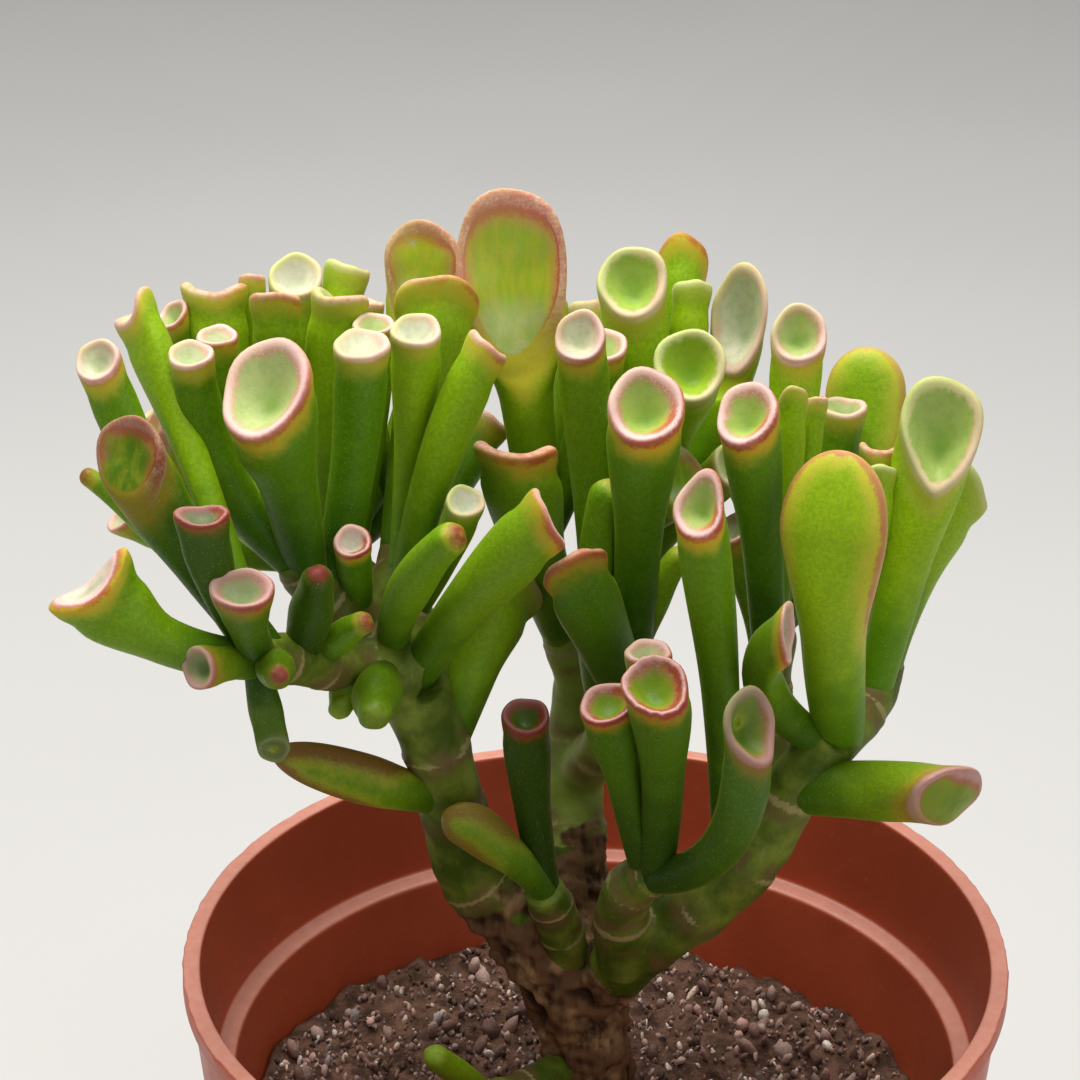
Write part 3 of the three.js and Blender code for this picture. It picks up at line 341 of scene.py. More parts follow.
class LeafSettings(PropertyGroup):
    """Sizes and colours of the leaves."""

    sides: count("Sides", "Steps round a leaf", 36)
    body_rings: count("Body rings", "Steps from a leaf's foot to its mouth", 24)
    lip: share("Lip", "Width of the rolled lip, as a share of the mouth's half size", 0.17)
    neck: share("Neck", "Depth of the neck below the lip, as a share of the leaf's radius", 0.07)
    # How far a leaf goes from the darker greens to the brighter ones is partly its own tone and partly painted
    # light.
    foot_green: tint("Foot green", "The foot of a leaf", 54, 92, 0)
    body_green: tint("Body green", "The middle of a dark leaf", 94, 138, 0)
    dark_red: tint("Dark red", "The end of a closed tip", 112, 28, 34)
    bright_green: tint("Bright green", "The middle of a bright leaf", 158, 190, 14)
    top_green: tint("Top green", "The band below a green lip", 166, 186, 66)
    top_yellow: tint("Top yellow", "The band below a flushed lip", 216, 198, 48)
    orange: tint("Orange", "The band below a flushed lip", 220, 146, 34)
    red: tint("Red", "The line round a flushed lip", 170, 56, 48)
    lip_rose: tint("Lip rose", "The inner side of a flushed lip", 200, 122, 112)
    # The crest's pale pink and cream are partly colour and partly a painted highlight.
    lip_pink_and_highlight: tint("Lip pink", "The crest of a flushed lip", 228, 190, 180)
    lip_cream_and_highlight: tint("Lip cream", "The crest of a green lip", 206, 216, 156)
    dish_green: tint("Dish green", "The bottom of a green dish", 146, 174, 40)
    # A dish's milky white is partly its colour and partly a painted highlight that lightens the shaded hollow.
    dish_milk_and_highlight: tint("Dish milk", "The bottom of a milky dish", 208, 210, 184)


class StageSettings(PropertyGroup):
    """The camera, the floor and the lights."""

    focal_length: FloatProperty(name="Focal length", description="Of the camera, in millimetres", min=1,
                                default=110)
    tilt: FloatProperty(name="Tilt", description="How far the camera looks down", subtype="ANGLE",
                        default=math.radians(25.94))
    floor: tint("Floor", "The plain floor", 206, 203, 198)
    key: power("Key light", "Power of the overhead light", 9.5)
    fill: power("Fill light", "Power of the front light", 1.9)
    sky: share("Sky", "Strength of the even light from all round", 0.32)


# ---------------------------------------------------------------- numbers and lines
def unit(vectors):
    """Vectors of length 1 in the same directions."""
    return vectors / np.linalg.norm(vectors, axis=-1, keepdims=True)


def dot(left, right):
    """Dot products along the last axis, which is kept."""
    return (left * right).sum(-1, keepdims=True)


def ease(x, low=0.0, high=1.0):
    """0 below low, 1 above high, and 3t^2 - 2t^3 between them."""
    t = np.clip((x - low) / (high - low), 0, 1)
    return t * t * (3 - 2 * t)


def mix(low, high, amount):
    """low at amount 0, high at amount 1."""
    return low + (high - low) * amount


def around(sides):
    """Even angles round a circle."""
    return TURN * np.arange(sides) / sides


def ripple(points, size, seed, waves=16):
    """Smooth noise, mostly from -1 to 1: the sum of plane waves in seeded directions, of lengths near
    size."""
    draw = np.random.default_rng(seed)
    directions = unit(draw.normal(size=(waves, 3)))
    lengths = size * draw.uniform(0.6, 1.7, waves)
    phases = draw.uniform(0, TURN, waves)
    return np.sin(points @ (TURN * directions / lengths[:, None]).T + phases).sum(-1) / math.sqrt(waves)


def stem_line(name, shares):
    """Points (x, y, z, radius) of a stem at shares of its length: a Catmull-Rom curve, in millimetres."""
    points = np.array(STEMS[name], float)
    padded = np.vstack([2 * points[0] - points[1], points, 2 * points[-1] - points[-2]])
    place = np.clip(shares, 0, 1) * (len(points) - 1)
    start = np.minimum(place.astype(int), len(points) - 2)
    t = (place - start)[..., None]
    before, here, there, after = (padded[start + step] for step in range(4))
    leave, arrive = (there - before) / 2, (after - here) / 2
    return (here + leave * t + (3 * (there - here) - 2 * leave - arrive) * t**2
            + (2 * (here - there) + leave + arrive) * t**3)


def foot_of(stem, place):
    """The point of a stem's middle line at one share of its length."""
    return stem_line(stem, np.array([float(place)]))[0, :3]


# ---------------------------------------------------------------- meshes
class Skin:
    """Closed surfaces collected into one mesh. Each is a grid of rings by sides, closed by a point at
    either end. Each carries values at its corners."""

    def __init__(self):
        self.corners, self.quads, self.fans, self.values, self.total = [], [], [], {}, 0

    def add(self, grid, first, last, **values):
        """One closed surface: rings turn to the left seen from the last end, so its faces point
        outwards."""
        rings, sides = grid.shape[:2]
        side = np.arange(sides)
        following = (side + 1) % sides
        low = self.total + 1 + sides * np.arange(rings - 1)[:, None]
        quads = np.stack([low + side, low + following, low + sides + following, low + sides + side], -1)
        rim = self.total + 1 + sides * (rings - 1)
        end = rim + sides
        self.quads.append(quads.reshape(-1, 4))
        start = self.total + 1
        self.fans.append(np.stack([np.full(sides, self.total), start + following, start + side], -1))
        self.fans.append(np.stack([np.full(sides, end), rim + side, rim + following], -1))
        self.corners.append(np.vstack([first, grid.reshape(-1, 3), last]))
        for name, value in values.items():
            flat = np.broadcast_to(value, (rings, sides, value.shape[-1])).reshape(rings * sides, -1)
            self.values.setdefault(name, []).append(np.vstack([flat[:1], flat, flat[-1:]]))
        self.total += rings * sides + 2

    def piece(self, name, scale=MM):
        """The mesh object of all surfaces, its corners scaled to metres."""
        faces = [face for part in self.quads + self.fans for face in part.tolist()]
        values = {key: np.vstack(parts) for key, parts in self.values.items()}
        return new_piece(name, np.vstack(self.corners) * scale, faces, values)


def new_piece(name, corners, faces, values=None):
    """A smooth mesh object at the origin, with its values as attributes of its corners."""
    mesh = bpy.data.meshes.new(name)
    mesh.from_pydata(corners.tolist(), [], faces)
    mesh.polygons.foreach_set("use_smooth", np.ones(len(mesh.polygons), bool))
    put_values(mesh, values or {})
    mesh.validate()
    piece = bpy.data.objects.new(name, mesh)
    bpy.context.scene.collection.objects.link(piece)
    return piece


def put_values(mesh, values):
    """Stores arrays of corners by 1, 3 or 4 numbers as attributes of a mesh."""
    kinds = {1: ("FLOAT", "value"), 3: ("FLOAT_VECTOR", "vector"), 4: ("FLOAT_COLOR", "color")}
    for name, value in values.items():
        kind, field = kinds[value.shape[1]]
        mesh.attributes.new(name, kind, "POINT").data.foreach_set(field, value.astype(np.float32).ravel())


def corners_of(mesh):
    """The corners of a mesh and their normals, as arrays."""
    corners, normals = np.empty(len(mesh.vertices) * 3), np.empty(len(mesh.vertices) * 3)
    mesh.vertices.foreach_get("co", corners)
    mesh.vertex_normals.foreach_get("vector", normals)
    return corners.reshape(-1, 3), normals.reshape(-1, 3)


def settle(piece):
    """Applies a piece's modifiers to its mesh."""
    rough = piece.data
    finished = piece.evaluated_get(bpy.context.evaluated_depsgraph_get())
    piece.data = bpy.data.meshes.new_from_object(finished)
    piece.modifiers.clear()
    bpy.data.meshes.remove(rough)
    piece.data.name = piece.name
    piece.data.polygons.foreach_set("use_smooth", np.ones(len(piece.data.polygons), bool))


def finish_piece(piece, material, slot, *nodes):
    """Gives a piece its material and its body, and hides the nodes that it stands for; the slot is not used.
    """
    piece.data.materials.clear()
    piece.data.materials.append(material)
    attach(piece, "root")
    if nodes:
        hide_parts(*nodes)


# ---------------------------------------------------------------- shaders
class Finish:
    """A material whose nodes are added one by one, with a Principled shader at its end."""

    def __init__(self, name, **constants):
        self.material = bpy.data.materials.new(name)
        self.material.use_nodes = True
        self.nodes, self.links = self.material.node_tree.nodes, self.material.node_tree.links
        self.nodes.clear()
        self.shader = self.add("ShaderNodeBsdfPrincipled")
        self.links.new(self.shader.outputs["BSDF"], self.add("ShaderNodeOutputMaterial").inputs["Surface"])
        self.place = self.add("ShaderNodeTexCoord").outputs["Object"]
        self.wear(**constants)

    def add(self, kind, inputs=None, **settings):
        """A node with its settings; an input is a number, a colour or another node's output."""
        node = self.nodes.new(kind)
        for name, value in settings.items():
            setattr(node, name, value)
        for name, value in (inputs or {}).items():
            self.plug(node.inputs[name], value)
        return node

    def plug(self, socket, value):
        """Sets a socket or links an output to it."""
        if isinstance(value, bpy.types.NodeSocket):
            self.links.new(value, socket)
        else:
            socket.default_value = value

    def wear(self, **inputs):
        """Sets or links the Principled shader's own sockets and returns the material."""
        for name, value in inputs.items():
            self.plug(self.shader.inputs[name.replace("_", " ")], value)
        return self.material

    def value(self, name, field="Fac"):
        """The attribute of that name, as a number, a Color or a Vector."""
        return self.add("ShaderNodeAttribute", attribute_name=name).outputs[field]

    def split(self, vector):
        """The three numbers of a vector."""
        return self.add("ShaderNodeSeparateXYZ", {0: vector}).outputs

    def maths(self, operation, first, second):
        """One sum on two numbers."""
        return self.add("ShaderNodeMath", {0: first, 1: second}, operation=operation).outputs[0]

    def times(self, first, *others):
        """All the numbers multiplied together."""
        for other in others:
            first = self.maths("MULTIPLY", first, other)
        return first

    def largest(self, first, *others):
        """The largest of the numbers."""
        for other in others:
            first = self.maths("MAXIMUM", first, other)
        return first

    def rest(self, amount):
        """What is left of 1."""
        return self.maths("SUBTRACT", 1.0, amount)

    def jittered(self, value, *parts):
        """The number moved up and down by noises, each (noise, height)."""
        for noise, height in parts:
            value = self.maths("ADD", value, self.times(self.maths("SUBTRACT", noise, 0.5), height))
        return value

    def between(self, value, low, high, start=0.0, end=1.0):
        """start below low, end above high, and a smooth step between them."""
        inputs = {"Value": value, "From Min": low, "From Max": high, "To Min": start, "To Max": end}
        return self.add("ShaderNodeMapRange", inputs, interpolation_type="SMOOTHSTEP").outputs["Result"]

    def noise(self, size, detail=3.0, stretch=None):
        """Fractal noise with features of that size in metres, pulled out along an axis by stretch."""
        where = self.place
        if stretch:
            where = self.add("ShaderNodeMapping", {"Vector": where, "Scale": stretch}).outputs["Vector"]
        inputs = {"Vector": where, "Scale": 1 / size, "Detail": detail, "Roughness": 0.55}
        return self.add("ShaderNodeTexNoise", inputs).outputs["Fac"]

    def dots(self, size, radius):
        """1 in round dots of that radius, one in each cell of that size, and 0 between them."""
        cells = self.add("ShaderNodeTexVoronoi", {"Vector": self.place, "Scale": 1 / size})
        return self.between(cells.outputs["Distance"], 0.5 * radius / size, radius / size, 1.0, 0.0)

    def blend(self, amount, low, high):
        """The colour low at amount 0 and high at amount 1."""
        node = self.add("ShaderNodeMix", {"Factor": amount}, data_type="RGBA")
        for name, value in (("A", low), ("B", high)):
            socket = next(s for s in node.inputs if s.name == name and s.type == "RGBA")
            self.plug(socket, value if isinstance(value, bpy.types.NodeSocket) else (*value, 1.0))
        return next(s for s in node.outputs if s.type == "RGBA")

    def coats(self, colour, *layers):
        """A colour with others laid over it, each (amount, colour)."""
        for amount, over in layers:
            colour = self.blend(amount, colour, over)
        return colour

    def relief(self, *parts):
        """The normal of reliefs laid over each other, each (height, depth in metres, strength)."""
        normal = None
        for height, depth, strength in parts:
            node = self.add("ShaderNodeBump", {"Height": height, "Distance": depth, "Strength": strength})
            if normal:
                self.plug(node.inputs["Normal"], normal)
            normal = node.outputs["Normal"]
        return normal


# ---------------------------------------------------------------- pot
def rounded(corners, radius, steps=5, hold=2.0):
    """A profile whose inner corners are rounded: each becomes a quadratic arc that starts radius before it
    and ends radius after it, with one more point hold radii away on either side to keep the flat stretches
    flat."""
    profile = [corners[0]]
    t = np.linspace(0, 1, steps)[:, None]
    for before, corner, after in zip(corners, corners[1:], corners[2:]):
        back, ahead = before - corner, after - corner
        reach = min(radius, 0.4 * np.linalg.norm(back) / hold, 0.4 * np.linalg.norm(ahead) / hold)
        enter, leave = corner + reach * unit(back), corner + reach * unit(ahead)
        arc = (1 - t) ** 2 * enter + 2 * t * (1 - t) * corner + t**2 * leave
        profile.extend([corner + hold * reach * unit(back), *arc, corner + hold * reach * unit(ahead)])
    return np.array([*profile, corners[-1]])


LIP_WIDTH, LIP_HEIGHT = 2.6 * MM, 2.8 * MM
COLLAR_WALL, COLLAR_FOOT_INSET = 1.8 * MM, 2.4 * MM
LEDGE_RADIUS, LEDGE_DROP = 53 * MM, 17.5 * MM
WALL, BASE_WALL = 1.6 * MM, 2 * MM
BEND_RADIUS = 0.7 * MM
DRAIN_RADIUS, DRAIN_CIRCLE, DRAIN_SIDES = 4, 27, 40  # lengths of the drill are in millimetres
DRILL_BOTTOM, DRILL_TOP = -3.0, 6.0
SHARP_EDGE = math.radians(50)
FLASH = 0.09 * MM  # the rough line that the mould leaves along the rim's outer edge
FLASH_DROP, FLASH_NEAR, FLASH_FAR = 0.35 * MM, 0.2 * MM, 1.3 * MM  # how far it lies below the rim, and fades


def pot_profile(pot):
    """(radius, height) from the middle of the base, up the outside, over the rim and down the inside."""
    rim, top = pot.rim_radius, pot.height
    step, ledge = top - pot.collar_height, top - LEDGE_DROP
    collar_foot, inner_base = rim - COLLAR_FOOT_INSET, pot.base_radius - WALL
    corners = [(0, 0), (pot.base_radius, 0), (LEDGE_RADIUS + WALL, step - 0.6 * MM), (collar_foot, step),
               (rim - 1 * MM, top - LIP_HEIGHT - 0.4 * MM), (rim, top - LIP_HEIGHT), (rim, top),
               (rim - LIP_WIDTH, top), (collar_foot - COLLAR_WALL, ledge), (LEDGE_RADIUS, ledge - 0.5 * MM),
               (inner_base, BASE_WALL), (0, BASE_WALL)]
    return rounded(np.array(corners), BEND_RADIUS)


def turned(profile, sides):
    """The surface of a profile turned about the Z axis: (radius cos a, radius sin a, height)."""
    angle = around(sides)
    radius, height = profile[:, :1], profile[:, 1:]
    return np.stack([radius * np.cos(angle), radius * np.sin(angle), height + 0 * angle], -1)


def pot_surface(pot):
    """The profile turned about Z. Near the rim's outer edge, noise moves it out by up to the height of the
    flash."""
    grid = turned(pot_profile(pot)[1:-1], pot.sides)
    radius, height = np.hypot(grid[..., 0], grid[..., 1]), grid[..., 2]
    away = np.hypot(radius - pot.rim_radius, height - (pot.height - FLASH_DROP))
    rough = 0.6 * ripple(grid, 5 * MM, 3) + ripple(grid, 2.4 * MM, 4) - 0.6
    rough = FLASH * ease(away, FLASH_FAR, FLASH_NEAR) * rough
    return grid + rough[..., None] * unit(grid * (1, 1, 0))


def drill_base(piece, pot):
    """Cuts the drain holes with upright cylinders on a circle round the middle of the base."""
    drills = Skin()
    wall = turned(np.array([(DRAIN_RADIUS, DRILL_BOTTOM), (DRAIN_RADIUS, DRILL_TOP)]), DRAIN_SIDES)
    for angle in around(pot.drain_holes):
        centre = np.array([math.cos(angle), math.sin(angle), 0]) * DRAIN_CIRCLE
        drills.add(wall + centre, centre + (0, 0, DRILL_BOTTOM), centre + (0, 0, DRILL_TOP))
    drill = drills.piece("drill")
    cut = piece.modifiers.new("drain holes", "BOOLEAN")
    cut.operation, cut.solver, cut.object = "DIFFERENCE", "EXACT", drill
    settle(piece)
    bpy.data.objects.remove(drill)
    piece.data.set_sharp_from_angle(angle=SHARP_EDGE)


def pot_plastic(pot):
    """Moulded plastic: an even colour with faint clouds, scuffs, a pale coat on what faces up that is partly
    settled dust and partly a painted highlight, and a fine grain."""
    finish = Finish("pot_plastic", Specular_IOR_Level=0.45)
    clouds, scuffs, grain = finish.noise(14 * MM, 4), finish.noise(1.6 * MM, 5), finish.noise(0.35 * MM, 2)
    up = finish.split(finish.add("ShaderNodeNewGeometry").outputs["Normal"])["Z"]
    # A pale coat on what faces up: settled dust, and partly a painted highlight on the rim and the ledge.
    dust_and_highlight = finish.times(finish.between(up, 0.35, 0.95), 0.6, finish.between(scuffs, 0.2, 0.7, 0.75, 1.0))
    colour = finish.coats(shade(pot.plastic, 0.86), (finish.between(clouds, 0.3, 0.75), pot.plastic),
                          (finish.between(scuffs, 0.6, 0.8, 0.0, 0.14), pot.bloom_and_highlight), (dust_and_highlight, pot.bloom_and_highlight))
    return finish.wear(Base_Color=colour, Roughness=finish.between(clouds, 0.3, 0.7, 0.36, 0.52),
                       Normal=finish.relief((grain, 0.03 * MM, 1.0), (scuffs, 0.05 * MM, 0.6)))


class JADE_OT_pot(Operator):
    """Mould the nursery pot"""

    bl_idname = "jade.pot"
    bl_label = "Pot"

    def execute(self, context):
        pot = context.scene.jade_pot
        skin = Skin()
        skin.add(pot_surface(pot), (0, 0, 0), (0, 0, BASE_WALL))
        piece = skin.piece("nursery_pot", 1)
        drill_base(piece, pot)
        finish_piece(piece, pot_plastic(pot), "pot_plastic", "pot")
        return {"FINISHED"}


# ---------------------------------------------------------------- soil and grit
SOIL_BOTTOM = BASE_WALL + 0.95 * MM
SOIL_GAP = 0.35 * MM
TRUNK_FOOT_RADIUS = 7 * MM


def inside_radius(pot, height):
    """The radius of the pot's inside at a height below the ledge: a straight taper."""
    low, high = BASE_WALL + 0.6 * MM, pot.height - LEDGE_DROP - 0.5 * MM
    return mix(pot.base_radius - WALL, LEDGE_RADIUS, (height - low) / (high - low)) - SOIL_GAP


def soil_height(pot, soil, x, y):
    """A plane that rises to the front left, plus lumps of three sizes."""
    spot = np.stack([x, y, 0 * x], -1)
    slope = -soil.rise * (x + y) / (math.sqrt(2) * inside_radius(pot, soil.level))
    lumps = 0.6 * ripple(spot, 11 * MM, 21) + 0.4 * ripple(spot, 4.5 * MM, 22)
    lumps = lumps + 0.22 * ripple(spot, 1.8 * MM, 23)
    return soil.level + slope + soil.relief * lumps


def soil_surface(pot, soil, rings=64, sides=176):
    """From the edge of the bottom, up the pot's inside and back to the middle over the lumpy top."""
    radii = np.linspace(1, 0.02, rings) * inside_radius(pot, soil.level)
    foot = (inside_radius(pot, SOIL_BOTTOM), SOIL_BOTTOM)
    grid = turned(np.array([foot, *((radius, 0) for radius in radii)]), sides)
    grid[1:, :, 2] = soil_height(pot, soil, grid[1:, :, 0], grid[1:, :, 1])
    return grid


def pebble():
    """A cube with each face cut in four, drawn onto a sphere: 26 corners and 24 faces."""
    steps = np.array(np.meshgrid([-1, 0, 1], [-1, 0, 1], [-1, 0, 1], indexing="ij")).reshape(3, -1).T
    keep = np.abs(steps).max(1) == 1
    number = np.cumsum(keep) - 1
    faces = []
    for axis in range(3):
        for side in (-1, 1):
            across, along = np.roll(np.eye(3, dtype=int), -axis, 0)[1:]
            for a in (-1, 0):
                for b in (-1, 0):
                    cell = [(a, b), (a + 1, b), (a + 1, b + 1), (a, b + 1)][::side]
                    spots = [side * np.eye(3, dtype=int)[axis] + p * across + q * along for p, q in cell]
                    faces.append([number[np.dot(spot + 1, (9, 3, 1))] for spot in spots])
    return unit(steps[keep].astype(float)), np.array(faces)


# How common each colour of stone is, and the colour as it shows on a display.
STONE_COLOURS = ((0.25, (148, 116, 104)), (0.2, (120, 90, 78)), (0.1, (82, 62, 52)), (0.19, (178, 148, 136)),
                 (0.09, (218, 194, 172)), (0.08, (200, 160, 144)), (0.05, (158, 144, 140)),
                 (0.04, (232, 220, 206)))
STONE_SORTS = {"fine_grit": (0.9 * MM, 2.3 * MM), "coarse_grit": (2.2 * MM, 5.2 * MM)}
STONE_LEAST, STONE_MOST = (0.8, 0.65, 0.5), (1.25, 1.0, 0.85)  # a stone's three sides, as shares of its size
STONE_DENT = 0.16
STONE_LEVEL = 0.35  # how far a stone's turn is drawn back to level
STONE_SEED = 8


def scatter_stones(pot, soil, number, sizes, draw):
    """Stones of random size, turn and colour, laid on the soil: each is a pebble stretched along its own
    axes, dented by noise, turned and moved to its place, clear of the trunk. Returns corners, faces and
    colours."""
    shape, faces = pebble()
    reach = inside_radius(pot, soil.level) - sizes[1] * 0.5
    radius = np.sqrt(draw.uniform((TRUNK_FOOT_RADIUS / reach) ** 2, 1, number)) * reach
    angle = draw.uniform(0, TURN, number)
    size = mix(sizes[0], sizes[1], draw.uniform(0, 1, number) ** 2)[:, None]
    axes = size * draw.uniform(STONE_LEAST, STONE_MOST, (number, 3)) / 2
    turn = mix(np.linalg.qr(draw.normal(size=(number, 3, 3)))[0], np.eye(3), STONE_LEVEL)
    dents = 1 + draw.uniform(-STONE_DENT, STONE_DENT, (number, len(shape), 1))
    local = shape[None] * dents * axes[:, None, :]
    x, y = radius * np.cos(angle), radius * np.sin(angle)
    height = soil_height(pot, soil, x, y) + size[:, 0] * draw.uniform(0.0, 0.3, number)
    corners = local @ turn.transpose(0, 2, 1) + np.stack([x, y, height], -1)[:, None]
    flipped = np.linalg.det(turn) < 0
    corners[flipped] = corners[flipped] * (1, 1, -1) + (0, 0, 2) * height[flipped, None, None]
    shares, displays = zip(*STONE_COLOURS)
    palette = np.array([linear(*display) for display in displays])
    chosen = palette[draw.choice(len(palette), number, p=shares)] * draw.uniform(0.8, 1.2, (number, 1))
    colours = np.repeat(np.hstack([np.clip(chosen, 0, 1), np.ones((number, 1))]), len(shape), 0)
    numbered = faces[None] + len(shape) * np.arange(number)[:, None, None]
    return corners.reshape(-1, 3), numbered.reshape(-1, 4), colours


def peat_finish(soil):
    """Crumbly peat: dark and lighter brown in two sizes of noise, rough all over."""
    finish = Finish("peat", Roughness=0.95, Specular_IOR_Level=0.15)
    lumps, crumbs = finish.noise(3 * MM, 5), finish.noise(0.7 * MM, 4)
    colour = finish.coats(shade(soil.peat, 0.35), (finish.between(lumps, 0.35, 0.65), soil.peat),
                          (finish.between(crumbs, 0.6, 0.75, 0, 0.7), linear(138, 112, 94)))
    return finish.wear(Base_Color=colour,
                       Normal=finish.relief((crumbs, 0.5 * MM, 1.0), (lumps, 0.8 * MM, 1.0)))


def stone_finish():
    """Stones in their own colours, with dark specks, and dust in clouds."""
    finish = Finish("grit_stone", Roughness=0.85, Specular_IOR_Level=0.3)
    specks, clouds = finish.noise(0.35 * MM, 3), finish.noise(1.4 * MM, 3)
    colour = finish.coats(finish.value("colour", "Color"),
                          (finish.between(specks, 0.52, 0.7, 0, 0.45), linear(70, 54, 44)),
                          (finish.between(clouds, 0.5, 0.75, 0, 0.4), linear(186, 164, 146)))
    return finish.wear(Base_Color=colour, Normal=finish.relief((specks, 0.15 * MM, 1.0)))


class JADE_OT_soil(Operator):
    """Fill the pot with potting mix"""

    bl_idname = "jade.soil"
    bl_label = "Soil"

    def execute(self, context):
        pot, soil = context.scene.jade_pot, context.scene.jade_soil
        skin = Skin()
        skin.add(soil_surface(pot, soil), (0, 0, SOIL_BOTTOM), (0, 0, soil.level))
        finish_piece(skin.piece("potting_mix", 1), peat_finish(soil), "soil", "soil")
        return {"FINISHED"}


class JADE_OT_grit(Operator):
    """Scatter grit over the soil"""

    bl_idname = "jade.grit"
    bl_label = "Grit"

    def execute(self, context):
        pot, soil = context.scene.jade_pot, context.scene.jade_soil
        material, draw = stone_finish(), np.random.default_rng(STONE_SEED)
        for (name, sizes), number in zip(STONE_SORTS.items(), (soil.fine_stones, soil.coarse_stones)):
            corners, faces, colours = scatter_stones(pot, soil, number, sizes, draw)
            finish_piece(new_piece(name, corners, faces.tolist(), {"colour": colours}), material, "soil")
        return {"FINISHED"}


# ---------------------------------------------------------------- trunk and stems
STEM_SIDES = 40
STEM_STEP = 1.2
SWELL, SWELL_BELOW, SWELL_REACH = 0.07, 1.2, 1.3  # a stem is this much fuller, so far below a scar
SOFTEN_ROUNDS = 7
NO_SCAR = 99.0  # the distance to a scar on a stem that has none
SEARCH_BLOCKS = 40  # corners are searched in so many blocks, to spare memory
GREEN_START = 0.04  # a green stem starts this much lower than its woody part ends
SCAR_RIDGE, SKIN_WAVES = 0.16 * MM, 0.1 * MM


def stem_length(name):
    """The length of a stem's middle line."""
    line = stem_line(name, np.linspace(0, 1, 80))[:, :3]
    return np.linalg.norm(np.diff(line, axis=0), axis=1).sum()


def scars_of(name):
    """The shares of a stem at which old leaves stood."""
    if name in LIMB_SCARS:
        return np.array(LIMB_SCARS[name])
    if name == "trunk":
        return np.array([])
    return np.arange(SHOOT_SCAR_SPACING, stem_length(name) + 1, SHOOT_SCAR_SPACING) / stem_length(name)


def stem_tube(name, start=0.0, end=1.0):
    """A stem between two shares of its length: circles across its middle line, a little fuller below each
    scar."""
    shares = np.linspace(start, end, max(4, int(stem_length(name) * (end - start) / STEM_STEP)))
    line = stem_line(name, shares)
    along = unit(np.gradient(line[:, :3], axis=0))
    across = unit(np.array([1.0, 0, 0]) - along[:, :1] * along)
    other = np.cross(along, across)
    below = (scars_of(name)[:, None] - shares) * stem_length(name)
    swell = (SWELL * np.exp(-((below - SWELL_BELOW) / SWELL_REACH) ** 2)).sum(0) if below.size else 0
    radius = (line[:, 3] * (1 + swell))[:, None, None]
    angle = around(STEM_SIDES)[None, :, None]
    ring = np.cos(angle) * across[:, None] + np.sin(angle) * other[:, None]
    return line[:, None, :3] + radius * ring


def fused_stems(name, parts, voxel):
    """Stems joined into one body: their tubes are cut into even cells and the creases between them
    smoothed."""
    skin = Skin()
    for stem, start, end in parts:
        grid = stem_tube(stem, start, end)
        skin.add(grid, grid[0].mean(0), grid[-1].mean(0))
    piece = skin.piece(name)
    fuse = piece.modifiers.new("fuse", "REMESH")
    fuse.mode, fuse.voxel_size = "VOXEL", voxel
    soften = piece.modifiers.new("soften", "SMOOTH")
    soften.factor, soften.iterations = 0.5, SOFTEN_ROUNDS
    settle(piece)
    return piece


def nearest_on_stems(corners, parts, samples=90):
    """For each corner: the number of the nearest stem, the share of its length, and the distance along the
    stem from the nearest scar, in millimetres."""
    shares = np.linspace(0, 1, samples)
    lines = np.concatenate([stem_line(stem, shares)[:, :3] for stem, _, _ in parts]) * MM
    stem_number = np.repeat(np.arange(len(parts)), samples)
    scar_distance = []
    for stem, _, _ in parts:
        away = np.abs(shares[:, None] - scars_of(stem)) * stem_length(stem)
        scar_distance.append(away.min(1) if away.size else np.full(samples, NO_SCAR))
    nearest = np.concatenate([np.linalg.norm(block[:, None] - lines, axis=-1).argmin(1)
                              for block in np.array_split(corners, SEARCH_BLOCKS)])
    return stem_number[nearest], np.tile(shares, len(parts))[nearest], np.concatenate(scar_distance)[nearest]


def grow_bark(piece, parts, stems):
    """Raises the bark: knobs and upright furrows of noise where the stem is woody, a fine ridge at each
    scar."""
    corners, normals = corners_of(piece.data)
    number, where, scar = nearest_on_stems(corners, parts)
    ends = np.array([WOODY_SHARE.get(stem, 1.0 if stem == "trunk" else 0.0) for stem, _, _ in parts])
    woody_end = ends[number]
    patches = ripple(corners, 5 * MM, 31)
    wood = np.where(woody_end >= 1, 1.0, ease(where + 0.05 * patches, woody_end + 0.1, woody_end - 0.06))
    wood = np.where(woody_end <= 0, 0.0, wood)
    furrows = -np.abs(ripple(corners * (1, 1, 0.22), 2.2 * MM, 32)) + 0.5
    knobs = ripple(corners, 4.5 * MM, 33) + 0.6 * ripple(corners, 2.2 * MM, 34)
    relief = wood * (stems.knob * knobs + stems.furrow * 2 * furrows) * 0.6
    ring = np.exp(-((scar + 0.2 * patches) / 0.4) ** 2)
    corky = np.exp(-((scar - 1.2 + 0.6 * patches) / 1.6) ** 2) * ease(ripple(corners, 7 * MM, 35), -0.9, 0.6)
    relief = relief + (1 - wood) * (SKIN_WAVES * patches + SCAR_RIDGE * ring)
    piece.data.vertices.foreach_set("co", (corners + relief[:, None] * normals).ravel())
    put_values(piece.data, {"wood": wood[:, None], "ring": ring[:, None], "cork": corky[:, None],
                            "relief": (relief / MM)[:, None]})
    piece.data.update()


